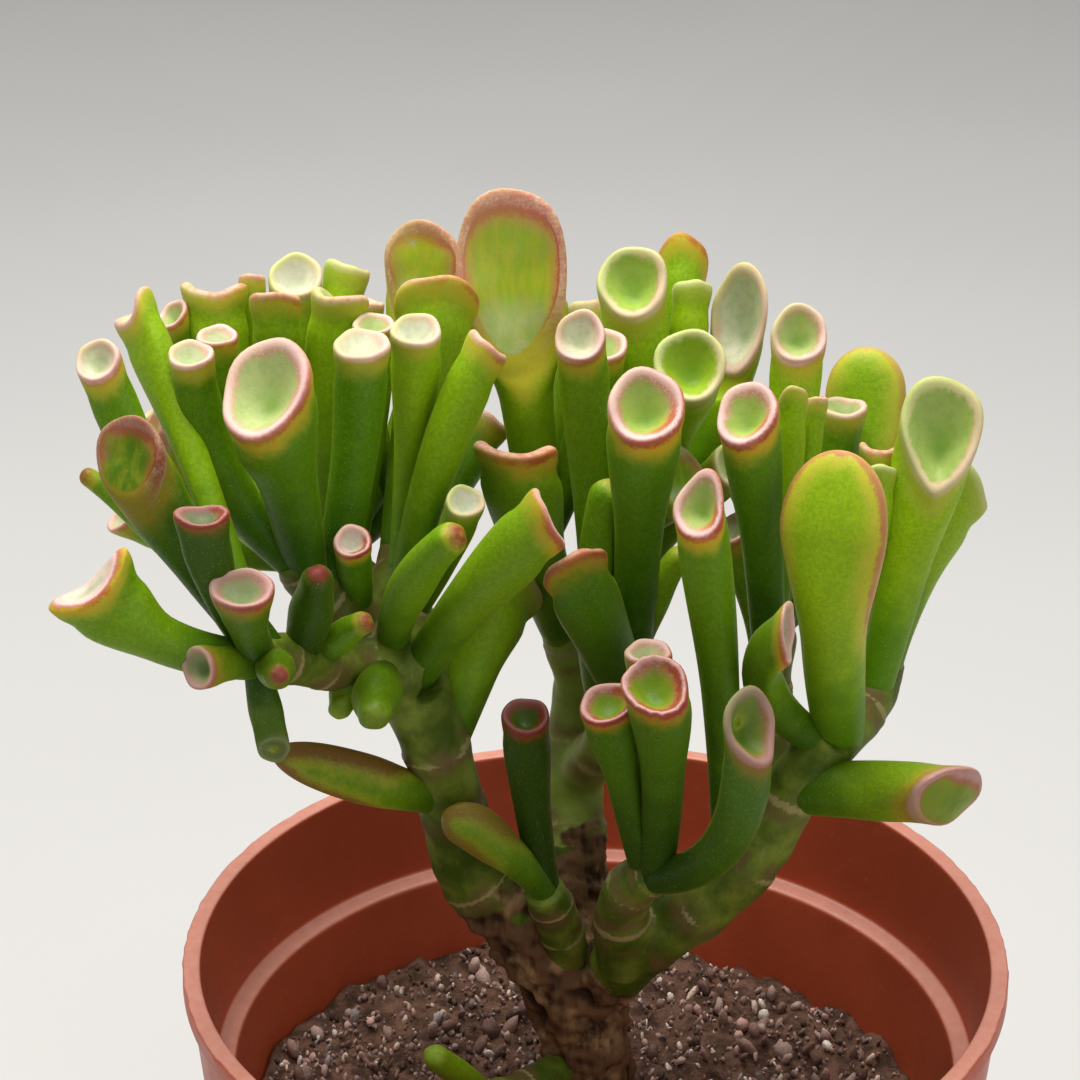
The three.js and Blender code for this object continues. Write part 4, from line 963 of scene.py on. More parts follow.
def stem_skin(stems, name, skin):
    """One skin for wood and green stems. Bark goes from dark in its furrows to tan on its ridges in noise
    of three sizes; green skin is clouded with a pale bloom and turns corky next to the scars, which are
    thin tan rings."""
    finish = Finish(name, Specular_IOR_Level=0.2)
    between, times = finish.between, finish.times
    wood, ring, cork, height = (finish.value(field) for field in ("wood", "ring", "cork", "relief"))
    large, small, grain = finish.noise(6 * MM, 4), finish.noise(1.3 * MM, 5), finish.noise(0.3 * MM, 2)
    fibre = finish.noise(0.8 * MM, 4, stretch=(1, 1, 0.2))
    bark = finish.coats(stems.bark_dark,
                        (between(finish.jittered(height, (fibre, 0.9)), -0.6, 0.25), stems.bark_brown),
                        (between(large, 0.5, 0.68, 0, 0.7), stems.bark_tan),
                        (between(small, 0.54, 0.8, 0, 0.3), stems.bark_dark))
    green = finish.coats(skin, (between(large, 0.3, 0.75), stems.skin_pale),
                         (between(small, 0.5, 0.75, 0, 0.25), shade(skin, 0.6)),
                         (between(fibre, 0.6, 0.75, 0, 0.2), stems.bark_tan),
                         (times(cork, 0.7), stems.bark_brown),
                         (times(between(ring, 0.4, 0.9), 0.7), stems.scar))
    woody = between(finish.jittered(wood, (small, 0.8)), 0.3, 0.7)
    ridges = times(fibre, between(wood, 0, 1, 0.15, 1.0))
    return finish.wear(Base_Color=finish.blend(woody, green, bark), Roughness=between(wood, 0, 1, 0.5, 0.9),
                       Normal=finish.relief((grain, 0.05 * MM, 1.0), (ridges, 0.45 * MM, 1.0)))


class JADE_OT_trunk(Operator):
    """Grow the woody trunk"""

    bl_idname = "jade.trunk"
    bl_label = "Trunk"

    def execute(self, context):
        stems = context.scene.jade_stems
        parts = [("trunk", 0.0, 1.0)] + [(name, 0.0, end) for name, end in WOODY_SHARE.items()]
        piece = fused_stems("woody_trunk", parts, stems.voxel)
        grow_bark(piece, parts, stems)
        finish_piece(piece, stem_skin(stems, "bark", stems.skin_green), "bark", "trunk")
        return {"FINISHED"}


class JADE_OT_stems(Operator):
    """Grow the green stems of every branch"""

    bl_idname = "jade.stems"
    bl_label = "Green stems"

    def execute(self, context):
        stems = context.scene.jade_stems
        green = stem_skin(stems, "stem_skin", stems.skin_green)
        young = stem_skin(stems, "young_stem_skin", stems.skin_young)
        for branch, names in BRANCH_STEMS.items():
            parts = [(name, max(0.0, WOODY_SHARE.get(name, 0.0) - GREEN_START), 1.0) for name in names]
            piece = fused_stems(branch + "_stems", parts, stems.voxel)
            grow_bark(piece, parts, stems)
            finish_piece(piece, young if branch == "centre_branch" else green, "leaf", branch)
        return {"FINISHED"}


# ---------------------------------------------------------------- leaves
PLAIN = dict(roll=0, taper=0, notch=0, tip=0, bend=0, hook=0, spoon=0, teeth=0, margin=0, painted_shade=0)
FOOT_TAPER = 0.36  # a leaf is this much slimmer at its foot
TILT_START = 0.3  # where the sections begin to lean towards the mouth
FLARE_START = 0.5  # where the tube begins to widen to the mouth
NOTCH_START = 0.6  # where a notch begins to lift the lip
BACK_FACING = 0.6  # how far a mouth faces the back when it counts as turned away
LIP_RINGS, DISH_RINGS = 6, 13
RING_SPACING = 1.5  # the power by which body rings stand closer together towards the mouth
TIP_HEIGHT = 1.1
SLUMP = 0.2  # how far a dish's bottom lies towards its low side, as a share of half the mouth's length
NECK_BELOW, NECK_REACH = 3.2, 1.6
TEETH, TOOTH_PLACE, TOOTH_REACH = 11, 0.9, 0.08
LIP_ROUNDS, LOW_END_ROUNDS, SEAM_ROUNDS = 4, 30, 12  # how long each crease is worn
COMMON_MOUTH = 3.5  # half the size of a mouth whose bands have their common width
SPOON_CREST, BACK_CREST = 1.2, 1.1  # how much wider the crest is outside
SUNNY_SIDE = (0.76, -0.2, -0.62)  # lips flush most on this side
FLUSH_LEVEL, FLUSH_SWING = 0.84, 0.38  # a lip's flush, as a share of the leaf's, and how it varies round it
PAINTED_SHADE_START, PAINTED_SHADE_END, PAINTED_SHADE_MOST = 190, 150, 0.4  # painted shade darkens leaves with their mouths below these heights
BACK_FATNESS = 0.7  # how much wider a lip is that faces the back
SPOON_LIP, CREST_HEIGHT = 0.7, 0.8  # how wide a spoon's lip is, and how high a lip is for its width
LEAF_SEED = 5
# Waves that keep a leaf from looking turned: (height, turns round the leaf, rate along it).
BODY_WAVES = ((0.03, 0, 6), (0.026, 2, 3), (0.018, 3, -4))
RIM_WAVES = ((0.03, 3, 0), (0.016, 5, 0))
LIP_WAVES = ((0.035, 2, 0), (0.025, 5, 0))


def facing_vector(azimuth, elevation):
    """The unit vector of a facing given in degrees."""
    level = math.cos(math.radians(elevation))
    turn = math.radians(azimuth)
    return np.array([math.sin(turn) * level, -math.cos(turn) * level, math.sin(math.radians(elevation))])


def make_leaf(stem, place, mouth, radius, mouth_size, facing, options):
    """A leaf's line and mouth. The line is a quadratic curve from the foot to the mouth. Its middle point
    is bowed against the facing, and swung out and down by the hook."""
    options = {**PLAIN, **options}
    normal = facing_vector(*facing) if len(facing) == 2 else np.array(facing)
    foot, end = foot_of(stem, place), np.array(mouth, float)
    reach = np.linalg.norm(end - foot)
    along = (end - foot) / reach
    aside = unit(normal - normal.dot(along) * along)
    outward = unit(along * (1, 1, 0))
    control = (foot + end) / 2 - options["bend"] * reach * aside + options["hook"] * reach * (outward - UP)
    level = unit(np.cross(UP, normal) + (0.001, 0, 0))
    roll = math.radians(options["roll"])
    wide = level * math.cos(roll) + np.cross(normal, level) * math.sin(roll)
    return dict(line=(foot, control, end), normal=normal, wide=wide, radius=radius, size=mouth_size,
                away=float(ease(normal[1], 0, BACK_FACING)), **options)


def leaf_sections(leaf, shares):
    """Middles, axes, half sizes, flare and lift of a leaf's sections. They turn from square across the line
    to the mouth's plane, and grow from the tube's radius to the mouth's size."""
    t = np.asarray(shares, float)[:, None]
    foot, control, end = leaf["line"]
    half_width, half_length = leaf["size"]
    middle = (1 - t) ** 2 * foot + 2 * t * (1 - t) * control + t**2 * end
    along = unit((1 - t) * (control - foot) + t * (end - control))
    lean, flare = ease(t, TILT_START, 1), ease(t, FLARE_START, 1)
    normal = unit(mix(along, leaf["normal"], lean))
    wide = unit(leaf["wide"] - dot(leaf["wide"], normal) * normal)
    slant = np.clip(np.abs(dot(normal, along)), 0.15, 1)
    end_slant = np.clip(abs(float(leaf["normal"] @ unit(end - control))), 0.15, 1)
    body = leaf["radius"] * (1 - FOOT_TAPER * (1 - t))
    thick = mix(body, half_length * end_slant, flare)
    return dict(middle=middle, normal=normal, wide=wide, long=np.cross(normal, wide), along=along,
                flare=flare, half_width=mix(body, half_width, flare),
                half_length=np.minimum(thick / slant, np.maximum(half_length, body)),
                lift=leaf["notch"] * ease(t, NOTCH_START, 1))


def mouth_profile(leaf):
    """(size, rise) from the mouth's outer edge to its middle, as shares of the mouth. A lip rolls over in a
    quarter round. A dish falls from it to its bottom in a parabola, which is steepened by a smooth step
    unless it is a spoon's. A tip closes in a quarter of an ellipse."""
    if leaf["tip"]:
        turn = np.linspace(0, TURN / 4, LIP_RINGS + DISH_RINGS)[1:-1]
        return np.stack([np.cos(turn), TIP_HEIGHT * leaf["tip"] * np.sin(turn)], -1)
    lip, crest = leaf["lip"], leaf["crest"]
    turn = np.linspace(0, TURN / 4, LIP_RINGS + 1)[1:]
    roll = np.stack([1 - lip + lip * np.cos(turn), crest * np.sin(turn)], -1)
    inward = np.linspace(0, 1, DISH_RINGS + 1)[1:-1]
    fall = mix(1 - (1 - inward) ** 2, ease(inward, 0, 0.8), 0 if leaf["spoon"] else 0.35)
    dish = np.stack([(1 - lip) * (1 - inward), crest - (crest + leaf["depth"]) * fall], -1)
    return np.vstack([roll, dish])


def softened(grid, weight, rounds):
    """The grid with its creases worn round: along each side line a point moves to the middle of its
    neighbours by half its weight, again and again."""
    for _ in range(rounds):
        grid[1:-1] = mix(grid[1:-1], (grid[:-2] + grid[2:]) / 2, weight[1:-1, :, None] / 2)
    return grid


def body_shares(leaves):
    """The shares of a leaf's length at which its body's rings stand."""
    return 1 - np.linspace(1, 0, leaves.body_rings) ** RING_SPACING


def waves(table, phases, angle, along=0.0):
    """The sum of sine waves, each height * sin(turns * angle + rate * along + phase)."""
    return sum(height * np.sin(turns * angle + rate * along + phase)
               for (height, turns, rate), phase in zip(table, phases))


def laid_out(cut, across, upward, lift):
    """Points in the planes of sections: each section's middle, plus ways along its three axes."""
    points = cut["middle"][:, None]
    for axis, way in (("wide", across), ("long", upward), ("normal", lift)):
        points = points + way[..., None] * cut[axis][:, None]
    return points


def leaf_body(leaf, leaves, cut, angle, phase):
    """The body's rings, ellipses (half width cos a, half length sin a) with waves and a shallow neck below
    the lip, and how full the last ring is at each angle."""
    shares = body_shares(leaves)[:, None]
    below = (1 - shares) * np.linalg.norm(leaf["line"][2] - leaf["line"][0])
    neck = 0 if leaf["tip"] else leaves.neck * leaf["fat"] * np.exp(-((below - NECK_BELOW) / NECK_REACH) ** 2)
    full = (1 + waves(BODY_WAVES, phase, angle, shares) * mix(0.4, 1, ease(below, 0, 6))
            + waves(RIM_WAVES, phase[3:], angle) * ease(below, 5, 0) - neck)
    across = cut["half_width"] * full * (1 + leaf["taper"] * cut["flare"] * np.sin(angle)) * np.cos(angle)
    upward = cut["half_length"] * full * np.sin(angle)
    return laid_out(cut, across, upward, -cut["lift"] * np.cos(2 * angle)), full[-1]


def leaf_mouth(leaf, profile, last, edge, angle, phase):
    """The mouth's rings in the last section's plane. A spoon has no lip on its low side, and a dish slumps
    to it."""
    size, rise = profile[:, :1], profile[:, 1:]
    keep = ease(size, 0.0, 0.9)
    teeth = (leaf["teeth"] * np.abs(np.sin(TEETH * angle + phase[5]))
             * np.exp(-((size - TOOTH_PLACE) / TOOTH_REACH) ** 2))
    bare = leaf["spoon"] * ease(-np.sin(angle)) * np.minimum(rise, leaf["crest"]) * (rise > 0)
    height = (rise + keep * waves(LIP_WAVES, phase[3:], angle) + teeth - bare) * min(leaf["size"])
    height = height - leaf["notch"] * np.cos(2 * angle) * keep
    slump = 0 if leaf["tip"] or leaf["spoon"] else SLUMP * ease(1 - size / (1 - leaf["lip"]))
    across = last["half_width"] * size * edge * (1 + leaf["taper"] * np.sin(angle)) * np.cos(angle)
    return laid_out(last, across, last["half_length"] * (size * edge * np.sin(angle) - slump), height)


def leaf_surface(leaf, leaves, draw):
    """The whole leaf as rings by sides, its first and last point, and the values at its corners. The
    creases at the lip, at a tip's seam and at the low end of a spoon are worn round."""
    angle, phase = around(leaves.sides), draw.uniform(0, TURN, 6)
    cut = leaf_sections(leaf, body_shares(leaves))
    last = {key: value[-1:] for key, value in cut.items()}
    body, edge = leaf_body(leaf, leaves, cut, angle, phase)
    profile = mouth_profile(leaf)
    grid = np.concatenate([body, leaf_mouth(leaf, profile, last, edge, angle, phase)])
    values = leaf_values(leaf, grid, profile, angle, leaves)
    if leaf["tip"]:
        seam = np.exp(-((np.arange(len(grid)) - leaves.body_rings) / 4) ** 2)[:, None]
        end = last["middle"][0] + TIP_HEIGHT * leaf["tip"] * min(leaf["size"]) * last["normal"][0]
        return softened(grid, seam, SEAM_ROUNDS), leaf["line"][0], end, values
    way = values["place"][..., 0]
    low_end = leaf["spoon"] * ease(-np.sin(angle)) * np.exp(-(way / 4) ** 2)
    grid = softened(grid, np.exp(-((way + 0.3) / 1.1) ** 2), LIP_ROUNDS)
    grid = softened(grid, low_end, LOW_END_ROUNDS)
    return grid, leaf["line"][0], grid[-1].mean(0), values


def leaf_values(leaf, grid, profile, angle, leaves):
    """What the leaf's finish reads. place holds the way along the surface from the lip's crest, in millimetres
    for a mouth of common size, below 0 outside the leaf and above 0 in the dish; how far into the dish, -1 on
    a closed tip; how far up the leaf. On a leaf with a margin its two narrow sides count as crest; the crest
    is wider on a spoon, most at its far end, and on a lip that faces the back. tone holds the flush, which is
    stronger on the sunny side, the painted shade of a low or shaded leaf, and how milky the dish is, its
    whiteness partly a painted highlight. kind holds 1 on a spoon and down to -1 on a lip that faces the back,
    how near the point is to the mouth's low side, and how bright the body is, partly its own tone and partly
    painted light."""
    rings, low_side = len(grid), ease(-np.sin(angle))
    steps = np.linalg.norm(np.diff(grid, axis=0, prepend=grid[:1]), axis=-1).cumsum(0)
    crest = leaves.body_rings + (len(profile) if leaf["tip"] else LIP_RINGS) - 1
    edge = (steps - steps[crest]) / np.clip(min(leaf["size"]) / COMMON_MOUTH, 0.65, 1.25)
    if leaf["margin"]:
        ends = leaves.sides // 4 * np.array([1, 3] if leaf["size"][1] > leaf["size"][0] else [0, 2])
        ridge = np.linalg.norm(grid[:, :, None] - grid[:, None, ends], axis=-1).min(-1)
        edge = np.maximum(edge, -ridge - 6 * ease(np.arange(rings), 0.6 * leaves.body_rings, 0)[:, None])
    if not leaf["tip"]:
        wider = max(SPOON_CREST * leaf["spoon"], BACK_CREST * leaf["away"])
        edge = np.where(edge < 0, np.minimum(edge + wider, 0), edge)
    if leaf["spoon"]:
        edge = np.where(edge > 0, np.maximum(edge + 1.0 - 1.6 * ease(np.sin(angle), 0.4, 1), 0), edge)
    into = np.concatenate([np.zeros(leaves.body_rings), 1 - profile[:, 0]])[:, None]
    into = 0 * into - 1 if leaf["tip"] else into
    reach = np.concatenate([body_shares(leaves), np.ones(len(profile))])[:, None]
    place = np.stack([edge, into + 0 * edge, reach + 0 * edge], -1)
    rim = np.zeros((len(angle), 3)) if leaf["tip"] else unit(grid[crest] - grid[crest].mean(0))
    flush = np.clip(leaf["flush"] * (FLUSH_LEVEL + FLUSH_SWING * (rim @ SUNNY_SIDE)), 0, 1)
    even = 0 * flush
    tone = np.stack([flush, leaf["painted_shade"] + even, leaf["pale"] + even], -1)
    kind = np.stack([(leaf["spoon"] or -leaf["away"]) + even, low_side, leaf["tone_and_painted_light"] + even], -1)
    return dict(place=place, tone=np.broadcast_to(tone, (rings, *tone.shape)),
                kind=np.broadcast_to(kind, (rings, *kind.shape)))


def dress(leaf, leaves, draw):
    """Fills in what a leaf's row leaves open: lips and dishes vary, lips that face the back are fatter, and
    low leaves get more painted shade."""
    low = float(ease(leaf["line"][2][2], PAINTED_SHADE_START, PAINTED_SHADE_END))
    leaf.setdefault("flush", draw.uniform(0.25, 0.6))
    leaf["painted_shade"] = min(1.0, leaf["painted_shade"] + PAINTED_SHADE_MOST * low)
    leaf.setdefault("pale", draw.uniform(0.3, 0.9))
    leaf.setdefault("depth", 0.08 if leaf["spoon"] else draw.uniform(0.34, 0.5))
    leaf.setdefault("fat", draw.uniform(0.9, 1.15) * (1 + BACK_FATNESS * leaf["away"]))
    leaf.setdefault("tone_and_painted_light", draw.uniform(0.1, 0.8))
    leaf["lip"] = leaves.lip * leaf["fat"] * (SPOON_LIP if leaf["spoon"] else 1)
    leaf["crest"] = CREST_HEIGHT * leaf["lip"]
    return leaf


def steady_random(seed):
    """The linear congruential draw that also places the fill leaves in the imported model."""
    state = seed
    while True:
        state = (state * 1664525 + 1013904223) % 4294967296
        yield state / 4294967296


CROWD_SHARES = np.array([0.35, 0.45, 0.54, 0.63, 0.72, 0.81, 0.91, 1])
CROWD_OVERLAPS = np.array([2.5] * 4 + [0.5] * 4)  # how far leaves of one branch may overlap there
FILL_LENGTH, FILL_RADIUS, FILL_BEND, FILL_DROOP = 30, 2.4, 0.12, 4
FILL_SPOON = 0.75  # a fill leaf is a spoon where its draw is above this


def crowd_line(leaf):
    """The middles and radii of the balls that stand for a leaf's upper two thirds."""
    cut = leaf_sections(leaf, CROWD_SHARES)
    slant = np.abs(dot(cut["normal"], cut["along"]))
    return cut["middle"], ((cut["half_width"] + cut["half_length"] * slant) / 2)[:, 0]


def too_close(line, other, same_branch):
    """True where a ball of the new leaf comes too near to a ball of another."""
    gap = np.linalg.norm(line[0][:, None] - other[0], axis=-1) - line[1][:, None] - other[1]
    return bool((gap < (-CROWD_OVERLAPS[:, None] if same_branch else CLEARANCE)).any())


def nearest_foot(crown, mouth):
    """The stem and share that give a leaf to that mouth its common length and little slant."""
    best = None
    for stem in crown["feet"]:
        for place in (0.25, 0.5, 0.75, 1.0):
            way = mouth - foot_of(stem, place)
            cost = abs(np.linalg.norm(way) - FILL_LENGTH) + 0.5 * math.hypot(way[0], way[1])
            if best is None or cost < best[0]:
                best = (cost, stem, place)
    return best[1:]


def fill_crowns(leaves_of):
    """Adds the fill leaves: places spiral out over each crown by the golden angle, and one is taken where
    its leaf clears all the others."""
    draw = steady_random(CROWN_SEED)
    lines = [(branch, crowd_line(leaf)) for branch, leaves in leaves_of.items() for leaf in leaves]
    for branch, crown in CROWNS.items():
        taken = 0
        for number in range(crown["tries"]):
            if taken == crown["leaves"]:
                break
            droop, girth, lean, kind, width = (next(draw) for _ in range(5))
            spread = math.sqrt((number + 0.5) / crown["tries"])
            out = np.array([math.cos(number * GOLDEN_ANGLE), math.sin(number * GOLDEN_ANGLE)]) * spread
            dome = math.sqrt(max(0, 1 - spread * spread))
            high, low = crown["heights"]
            height = mix(low, high, dome) - FILL_DROOP * droop
            mouth = np.array([*(crown["middle"] + out * crown["radii"]), height])
            if mouth[1] < CROWN_FRONT:
                continue
            radius, spoon = FILL_RADIUS + girth, kind > FILL_SPOON
            facing = unit(np.array([*(out * (0.5 + 0.8 * lean + (0.8 if spoon else 0))), 0.8]))
            half_width = radius * (1 + 0.2 * width) * (1.3 if spoon else 1)
            half_length = half_width * (1.35 if spoon else 1.05)
            leaf = make_leaf(*nearest_foot(crown, mouth), mouth, radius, (half_width, half_length), facing,
                             dict(bend=FILL_BEND, spoon=int(spoon)))
            line = crowd_line(leaf)
            if any(too_close(line, other, branch == owner) for owner, other in lines):
                continue
            lines.append((branch, line))
            leaves_of[branch].append(leaf)
            taken += 1


def leaf_skin(leaves):
    """The leaf's skin. Green deepens to the foot and lightens to the top, more on a bright leaf, whose
    brightness is partly painted light. Below the lip it turns yellow and orange and then to a fine red line,
    in step with the leaf's flush; the crest is pink or cream, partly a painted highlight, and the dish milky
    or green, its milky white partly a painted highlight. On a spoon the red line runs inside the crest, and
    the face is green and turns milky at its low end, partly a painted highlight. A closed tip ends in red.
    Painted shade darkens low and shaded leaves. Grains of noise break up the bands, and fine pale raised dots
    cover the outside."""
    finish = Finish("leaf_skin", Specular_IOR_Level=0.22, Subsurface_Weight=0.3,
                    Subsurface_Radius=(1.0, 1.0, 0.1), Subsurface_Scale=1.6 * MM, Sheen_Weight=0.16,
                    Sheen_Roughness=0.4, Sheen_Tint=(*linear(206, 224, 70), 1.0))
    between, blend, coats, times = finish.between, finish.blend, finish.coats, finish.times
    jittered, largest, rest = finish.jittered, finish.largest, finish.rest
    edge, into, reach = finish.split(finish.value("place", "Vector"))
    flush, painted_shade, pale = finish.split(finish.value("tone", "Vector"))
    kind, low_side, tone_and_painted_light = finish.split(finish.value("kind", "Vector"))
    spoon, away = largest(kind, 0.0), largest(times(kind, -1.0), 0.0)
    grain, crumbs, mottle = finish.noise(0.35 * MM, 2), finish.noise(1.1 * MM, 3), finish.noise(4 * MM, 3)
    speckle, streaks = finish.noise(0.6 * MM, 2), finish.noise(1.2 * MM, 3, stretch=(1, 1, 0.12))
    fine = jittered(edge, (grain, 1.2), (crumbs, 1.0), (mottle, 0.8))
    broad = jittered(edge, (crumbs, 1.2), (mottle, 3.0))
    closed = between(into, -0.7, -0.3, 1.0, 0.0)
    bare = times(spoon, low_side)

    # the body, from the foot to the band under the lip
    # A leaf's brightness, from its foot up, is partly its own tone and partly painted light where it stands in
    # shade or is lit from behind.
    foot = blend(tone_and_painted_light, leaves.foot_green, leaves.body_green)
    body = blend(tone_and_painted_light, leaves.body_green, leaves.bright_green)
    # On a low or shaded leaf the painted shade also fades the pale band under the lip.
    light = times(between(broad, -5.0, -1.6), between(painted_shade, 0, 1, 0.75, 0.1))
    orange = times(between(broad, -4.2, -0.9), flush, between(crumbs, 0.35, 0.6, 0.4, 0.85),
                   between(spoon, 0, 1, 1.0, 0.3), between(closed, 0, 1, 1.0, 0.4))
    colour = coats(foot, (between(jittered(reach, (mottle, 0.5)), 0.1, 0.7), body),
                   (between(speckle, 0.35, 0.65, 0.0, 0.3), foot),
                   (light, blend(flush, leaves.top_green, leaves.top_yellow)), (orange, leaves.orange))

    # the lip: its crest, rosy or cream and partly a painted highlight, and the red line outside it
    start = between(flush, 0.15, 0.6, -1.7, -1.1)
    soft = between(largest(spoon, away, between(flush, 0.5, 0.1)), 0, 1, 0.6, 1.5)
    crest = between(jittered(edge, (crumbs, 0.6), (grain, 0.5)), start, finish.maths("ADD", start, soft))
    crest = times(crest, rest(largest(bare, closed)), between(flush, 0, 0.6, 0.55, 1.0))
    outer = blend(between(flush, 0.8, 1.0), leaves.lip_rose, leaves.red)
    rosy = coats(leaves.lip_pink_and_highlight, (between(jittered(edge, (crumbs, 0.7)), 0.1, 1.0), leaves.lip_rose),
                 (times(pale, 0.6), leaves.lip_pink_and_highlight), (between(grain, 0.5, 0.66, 0, 0.6), leaves.lip_pink_and_highlight),
                 (times(away, between(crumbs, 0.4, 0.6, 0.4, 0.9)), leaves.lip_rose),
                 (times(between(fine, -0.2, -1.0), between(flush, 0.3, 0.8)), outer),
                 (times(spoon, between(fine, -0.5, 0.1, 0.1, 0.85)), outer))
    line = times(between(fine, -1.8, -0.9), between(edge, -0.1, -0.6), flush, rest(bare),
                 between(flush, 0.2, 0.6), rest(spoon), between(mottle, 0.35, 0.6, 0.5, 0.95))
    colour = coats(colour, (crest, blend(between(flush, 0, 0.3), leaves.lip_cream_and_highlight, rosy)), (line, leaves.red))

    # the end of a closed tip
    red_start, red_end = between(tone_and_painted_light, 0.2, 0.6, -3.8, -1.7), between(tone_and_painted_light, 0.2, 0.6, -1.8, -0.4)
    colour = blend(times(between(fine, red_start, red_end), closed, flush, 0.9), colour,
                   blend(between(tone_and_painted_light, 0.3, 0.6), leaves.dark_red, leaves.lip_rose))

    # the dish, or a spoon's face
    # The milky white of a pale dish, and of a spoon's low end, is partly colour and partly a painted highlight
    # that lightens the shaded hollow.
    milk_and_highlight = blend(between(flush, 0.1, 0.6, 0.1, 0.45), leaves.dish_milk_and_highlight, leaves.lip_pink_and_highlight)
    centre = times(between(into, 0.45, 1.0), between(pale, 0.1, 1, 0.7, 0.3))
    dish = coats(leaves.dish_green, (pale, milk_and_highlight), (centre, leaves.body_green),
                 (between(crumbs, 0.4, 0.7, 0, 0.2), leaves.body_green))
    milky_end_and_highlight = times(between(times(low_side, rest(into)), 0.1, 0.6), between(pale, 0.0, 1.0, 0.0, 0.7),
                      between(mottle, 0.3, 0.6, 0.5, 1.0))
    face = coats(body,
                 (between(mottle, 0.38, 0.62, 0.3, 1.0), blend(tone_and_painted_light, leaves.body_green, leaves.top_green)),
                 (between(streaks, 0.35, 0.65, 0, 0.3), leaves.top_yellow), (milky_end_and_highlight, leaves.dish_milk_and_highlight))
    wall_end = largest(times(flush, between(low_side, 0, 1, 2.4, 0.8)), times(spoon, rest(low_side), 2.4))
    wall = between(jittered(edge, (crumbs, 0.9), (streaks, 1.6)), 0.2, finish.maths("ADD", wall_end, 0.8))
    colour = blend(largest(wall, between(into, 0.25, 0.55)), colour, blend(spoon, dish, face))

    # the orange band and the red line inside a flushed lip
    hot = times(largest(spoon, between(flush, 0.8, 1.0, 0.0, 0.9)), rest(bare), flush,
                between(into, 0.75, 0.4))
    inner_orange = times(between(broad, 3.6, 0.5), between(edge, 0.1, 0.8), hot, 0.6)
    inner_red = times(between(fine, 1.9, 0.9), between(fine, 0.0, 0.5), hot, 0.85)

    # the painted shade that darkens a low or shaded leaf, and the dots
    shaded_red = times(between(edge, -3.0, -1.0), between(fine, 2.0, 0.6), between(flush, 0.1, 0.5),
                     between(into, 0.7, 0.4), between(spoon, 0, 1, 1.0, 0.4))
    shade_colour = blend(shaded_red, shade(leaves.foot_green, 0.34), shade(leaves.red, 0.4))
    dots = times(finish.dots(0.42 * MM, 0.09 * MM), between(edge, -0.6, -1.1))
    colour = coats(colour, (inner_orange, leaves.orange), (inner_red, leaves.red), (times(painted_shade, 0.85), shade_colour),
                   (times(dots, between(crumbs, 0.35, 0.65, 0.06, 0.3)), leaves.lip_cream_and_highlight))
    relief = finish.relief((grain, 0.03 * MM, 1.0), (dots, 0.03 * MM, 1.0), (mottle, 0.25 * MM, 0.5))
    return finish.wear(Base_Color=colour, Roughness=between(grain, 0.3, 0.7, 0.42, 0.58), Normal=relief)


class JADE_OT_leaves(Operator):
    """Grow the leaves of every branch"""

    bl_idname = "jade.leaves"
    bl_label = "Leaves"

    def execute(self, context):
        leaves = context.scene.jade_leaves
        leaves_of = {branch: [make_leaf(*row) for row in rows] for branch, rows in LEAVES.items()}
        fill_crowns(leaves_of)
        material, draw = leaf_skin(leaves), np.random.default_rng(LEAF_SEED)
        for branch, grown in leaves_of.items():
            skin = Skin()
            for leaf in grown:
                grid, first, last, values = leaf_surface(dress(leaf, leaves, draw), leaves, draw)
                skin.add(grid, first, last, **values)
            finish_piece(skin.piece(branch + "_leaves"), material, "leaf", branch)
        return {"FINISHED"}


# ---------------------------------------------------------------- stage
CAMERA_PLACE = (-8 * MM, -407.5 * MM, 369.1 * MM)
SENSOR_WIDTH = 36  # millimetres, as the focal length is
LIGHT_TARGET = (0, 0, 0.16)
KEY_PLACE, KEY_SIZE = (-0.1, 0.1, 0.85), 0.6
FILL_PLACE, FILL_SIZE = (0.5, -0.7, 0.5), 0.7
SKY_COLOUR = (0.92, 0.96, 1.0, 1.0)
FLOOR_REACH = 3.0


def aimed_light(name, place, power, size):
    """A square soft light that looks from its place to the plant."""
    lamp = bpy.data.lights.new(name, "AREA")
    lamp.energy, lamp.shape, lamp.size = power, "SQUARE", size
    light = bpy.data.objects.new(name, lamp)
    away = np.array(place) - np.array(LIGHT_TARGET)
    level = math.hypot(away[0], away[1])
    light.rotation_euler = (math.atan2(level, away[2]), 0, math.atan2(away[0], -away[1]))
    light.location = place
    bpy.context.scene.collection.objects.link(light)


def floor_finish(colour):
    """A plain pale floor with the faintest clouds."""
    finish = Finish("floor", Roughness=0.9, Specular_IOR_Level=0.1)
    clouds = finish.between(finish.noise(0.3, 2), 0.3, 0.7)
    return finish.wear(Base_Color=finish.blend(clouds, shade(colour, 0.95), colour))


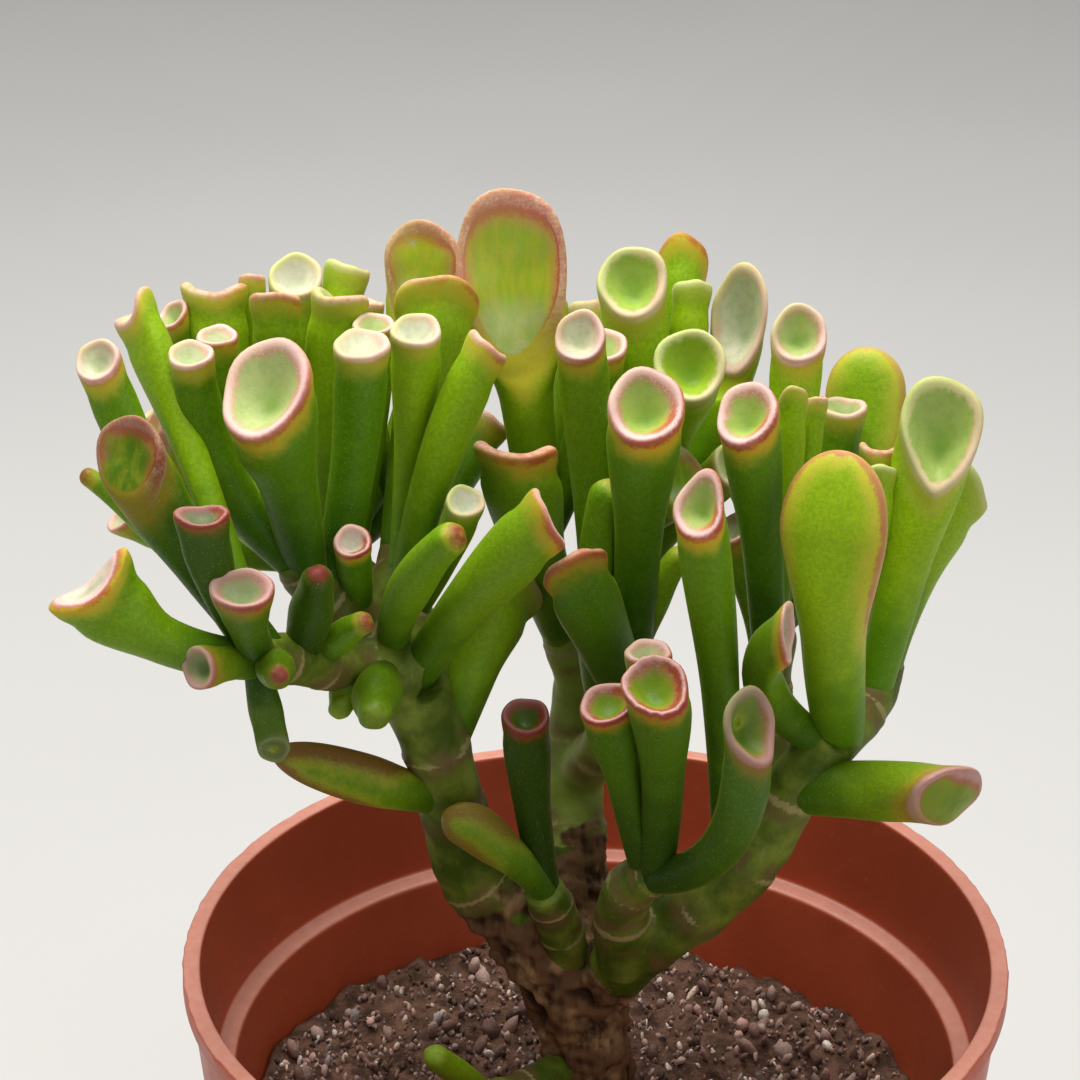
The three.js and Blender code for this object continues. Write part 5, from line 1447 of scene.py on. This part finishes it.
class JADE_OT_stage(Operator):
    """Set up the floor, the lights and the camera"""

    bl_idname = "jade.stage"
    bl_label = "Stage"

    def execute(self, context):
        stage, scene = context.scene.jade_stage, context.scene
        corners = FLOOR_REACH * np.array([(-1, -1, 0), (1, -1, 0), (1, 1, 0), (-1, 1, 0)])
        floor = new_piece("floor", corners, [[0, 1, 2, 3]])
        floor.data.materials.append(floor_finish(stage.floor))
        aimed_light("key_light", KEY_PLACE, stage.key, KEY_SIZE)
        aimed_light("fill_light", FILL_PLACE, stage.fill, FILL_SIZE)
        world = bpy.data.worlds.new("soft_sky")
        world.use_nodes = True
        sky = world.node_tree.nodes["Background"]
        sky.inputs["Color"].default_value = SKY_COLOUR
        sky.inputs["Strength"].default_value = stage.sky
        scene.world = world
        lens = bpy.data.cameras.new("camera")
        lens.lens, lens.sensor_width = stage.focal_length, SENSOR_WIDTH
        camera = bpy.data.objects.new("camera", lens)
        camera.location = CAMERA_PLACE
        camera.rotation_euler = (math.pi / 2 - stage.tilt, 0, 0)
        scene.collection.objects.link(camera)
        scene.camera = camera
        scene.view_settings.view_transform = "Standard"
        return {"FINISHED"}


# ---------------------------------------------------------------- add-on
class JADE_PT_panel(Panel):
    """Lists the steps that build the plant"""

    bl_idname = "JADE_PT_panel"
    bl_label = "Trumpet Jade"
    bl_space_type = "VIEW_3D"
    bl_region_type = "UI"
    bl_category = "Jade"

    def draw(self, context):
        for name, operators in GROUPS:
            box = self.layout.box()
            settings = getattr(context.scene, name)
            for key in settings.__annotations__:
                box.prop(settings, key)
            for operator in operators:
                box.operator(operator.bl_idname)


SETTINGS = {"jade_pot": PotSettings, "jade_soil": SoilSettings, "jade_stems": StemSettings,
            "jade_leaves": LeafSettings, "jade_stage": StageSettings}
GROUPS = (("jade_stage", (JADE_OT_stage,)), ("jade_pot", (JADE_OT_pot,)),
          ("jade_soil", (JADE_OT_soil, JADE_OT_grit)), ("jade_stems", (JADE_OT_trunk, JADE_OT_stems)),
          ("jade_leaves", (JADE_OT_leaves,)))
OPERATORS = tuple(operator for _, operators in GROUPS for operator in operators)


def register():
    """Registers the classes and puts the settings on the scene."""
    for name, group in SETTINGS.items():
        bpy.utils.register_class(group)
        setattr(bpy.types.Scene, name, PointerProperty(type=group))
    for operator in OPERATORS:
        bpy.utils.register_class(operator)
    bpy.utils.register_class(JADE_PT_panel)


def unregister():
    """Takes away what register added."""
    bpy.utils.unregister_class(JADE_PT_panel)
    for operator in reversed(OPERATORS):
        bpy.utils.unregister_class(operator)
    for name, group in reversed(SETTINGS.items()):
        delattr(bpy.types.Scene, name)
        bpy.utils.unregister_class(group)


def main():
    """Builds the plant and its stage."""
    register()
    for operator in OPERATORS:
        family, step = operator.bl_idname.split(".")
        getattr(getattr(bpy.ops, family), step)()


if __name__ == "__main__":
    main()
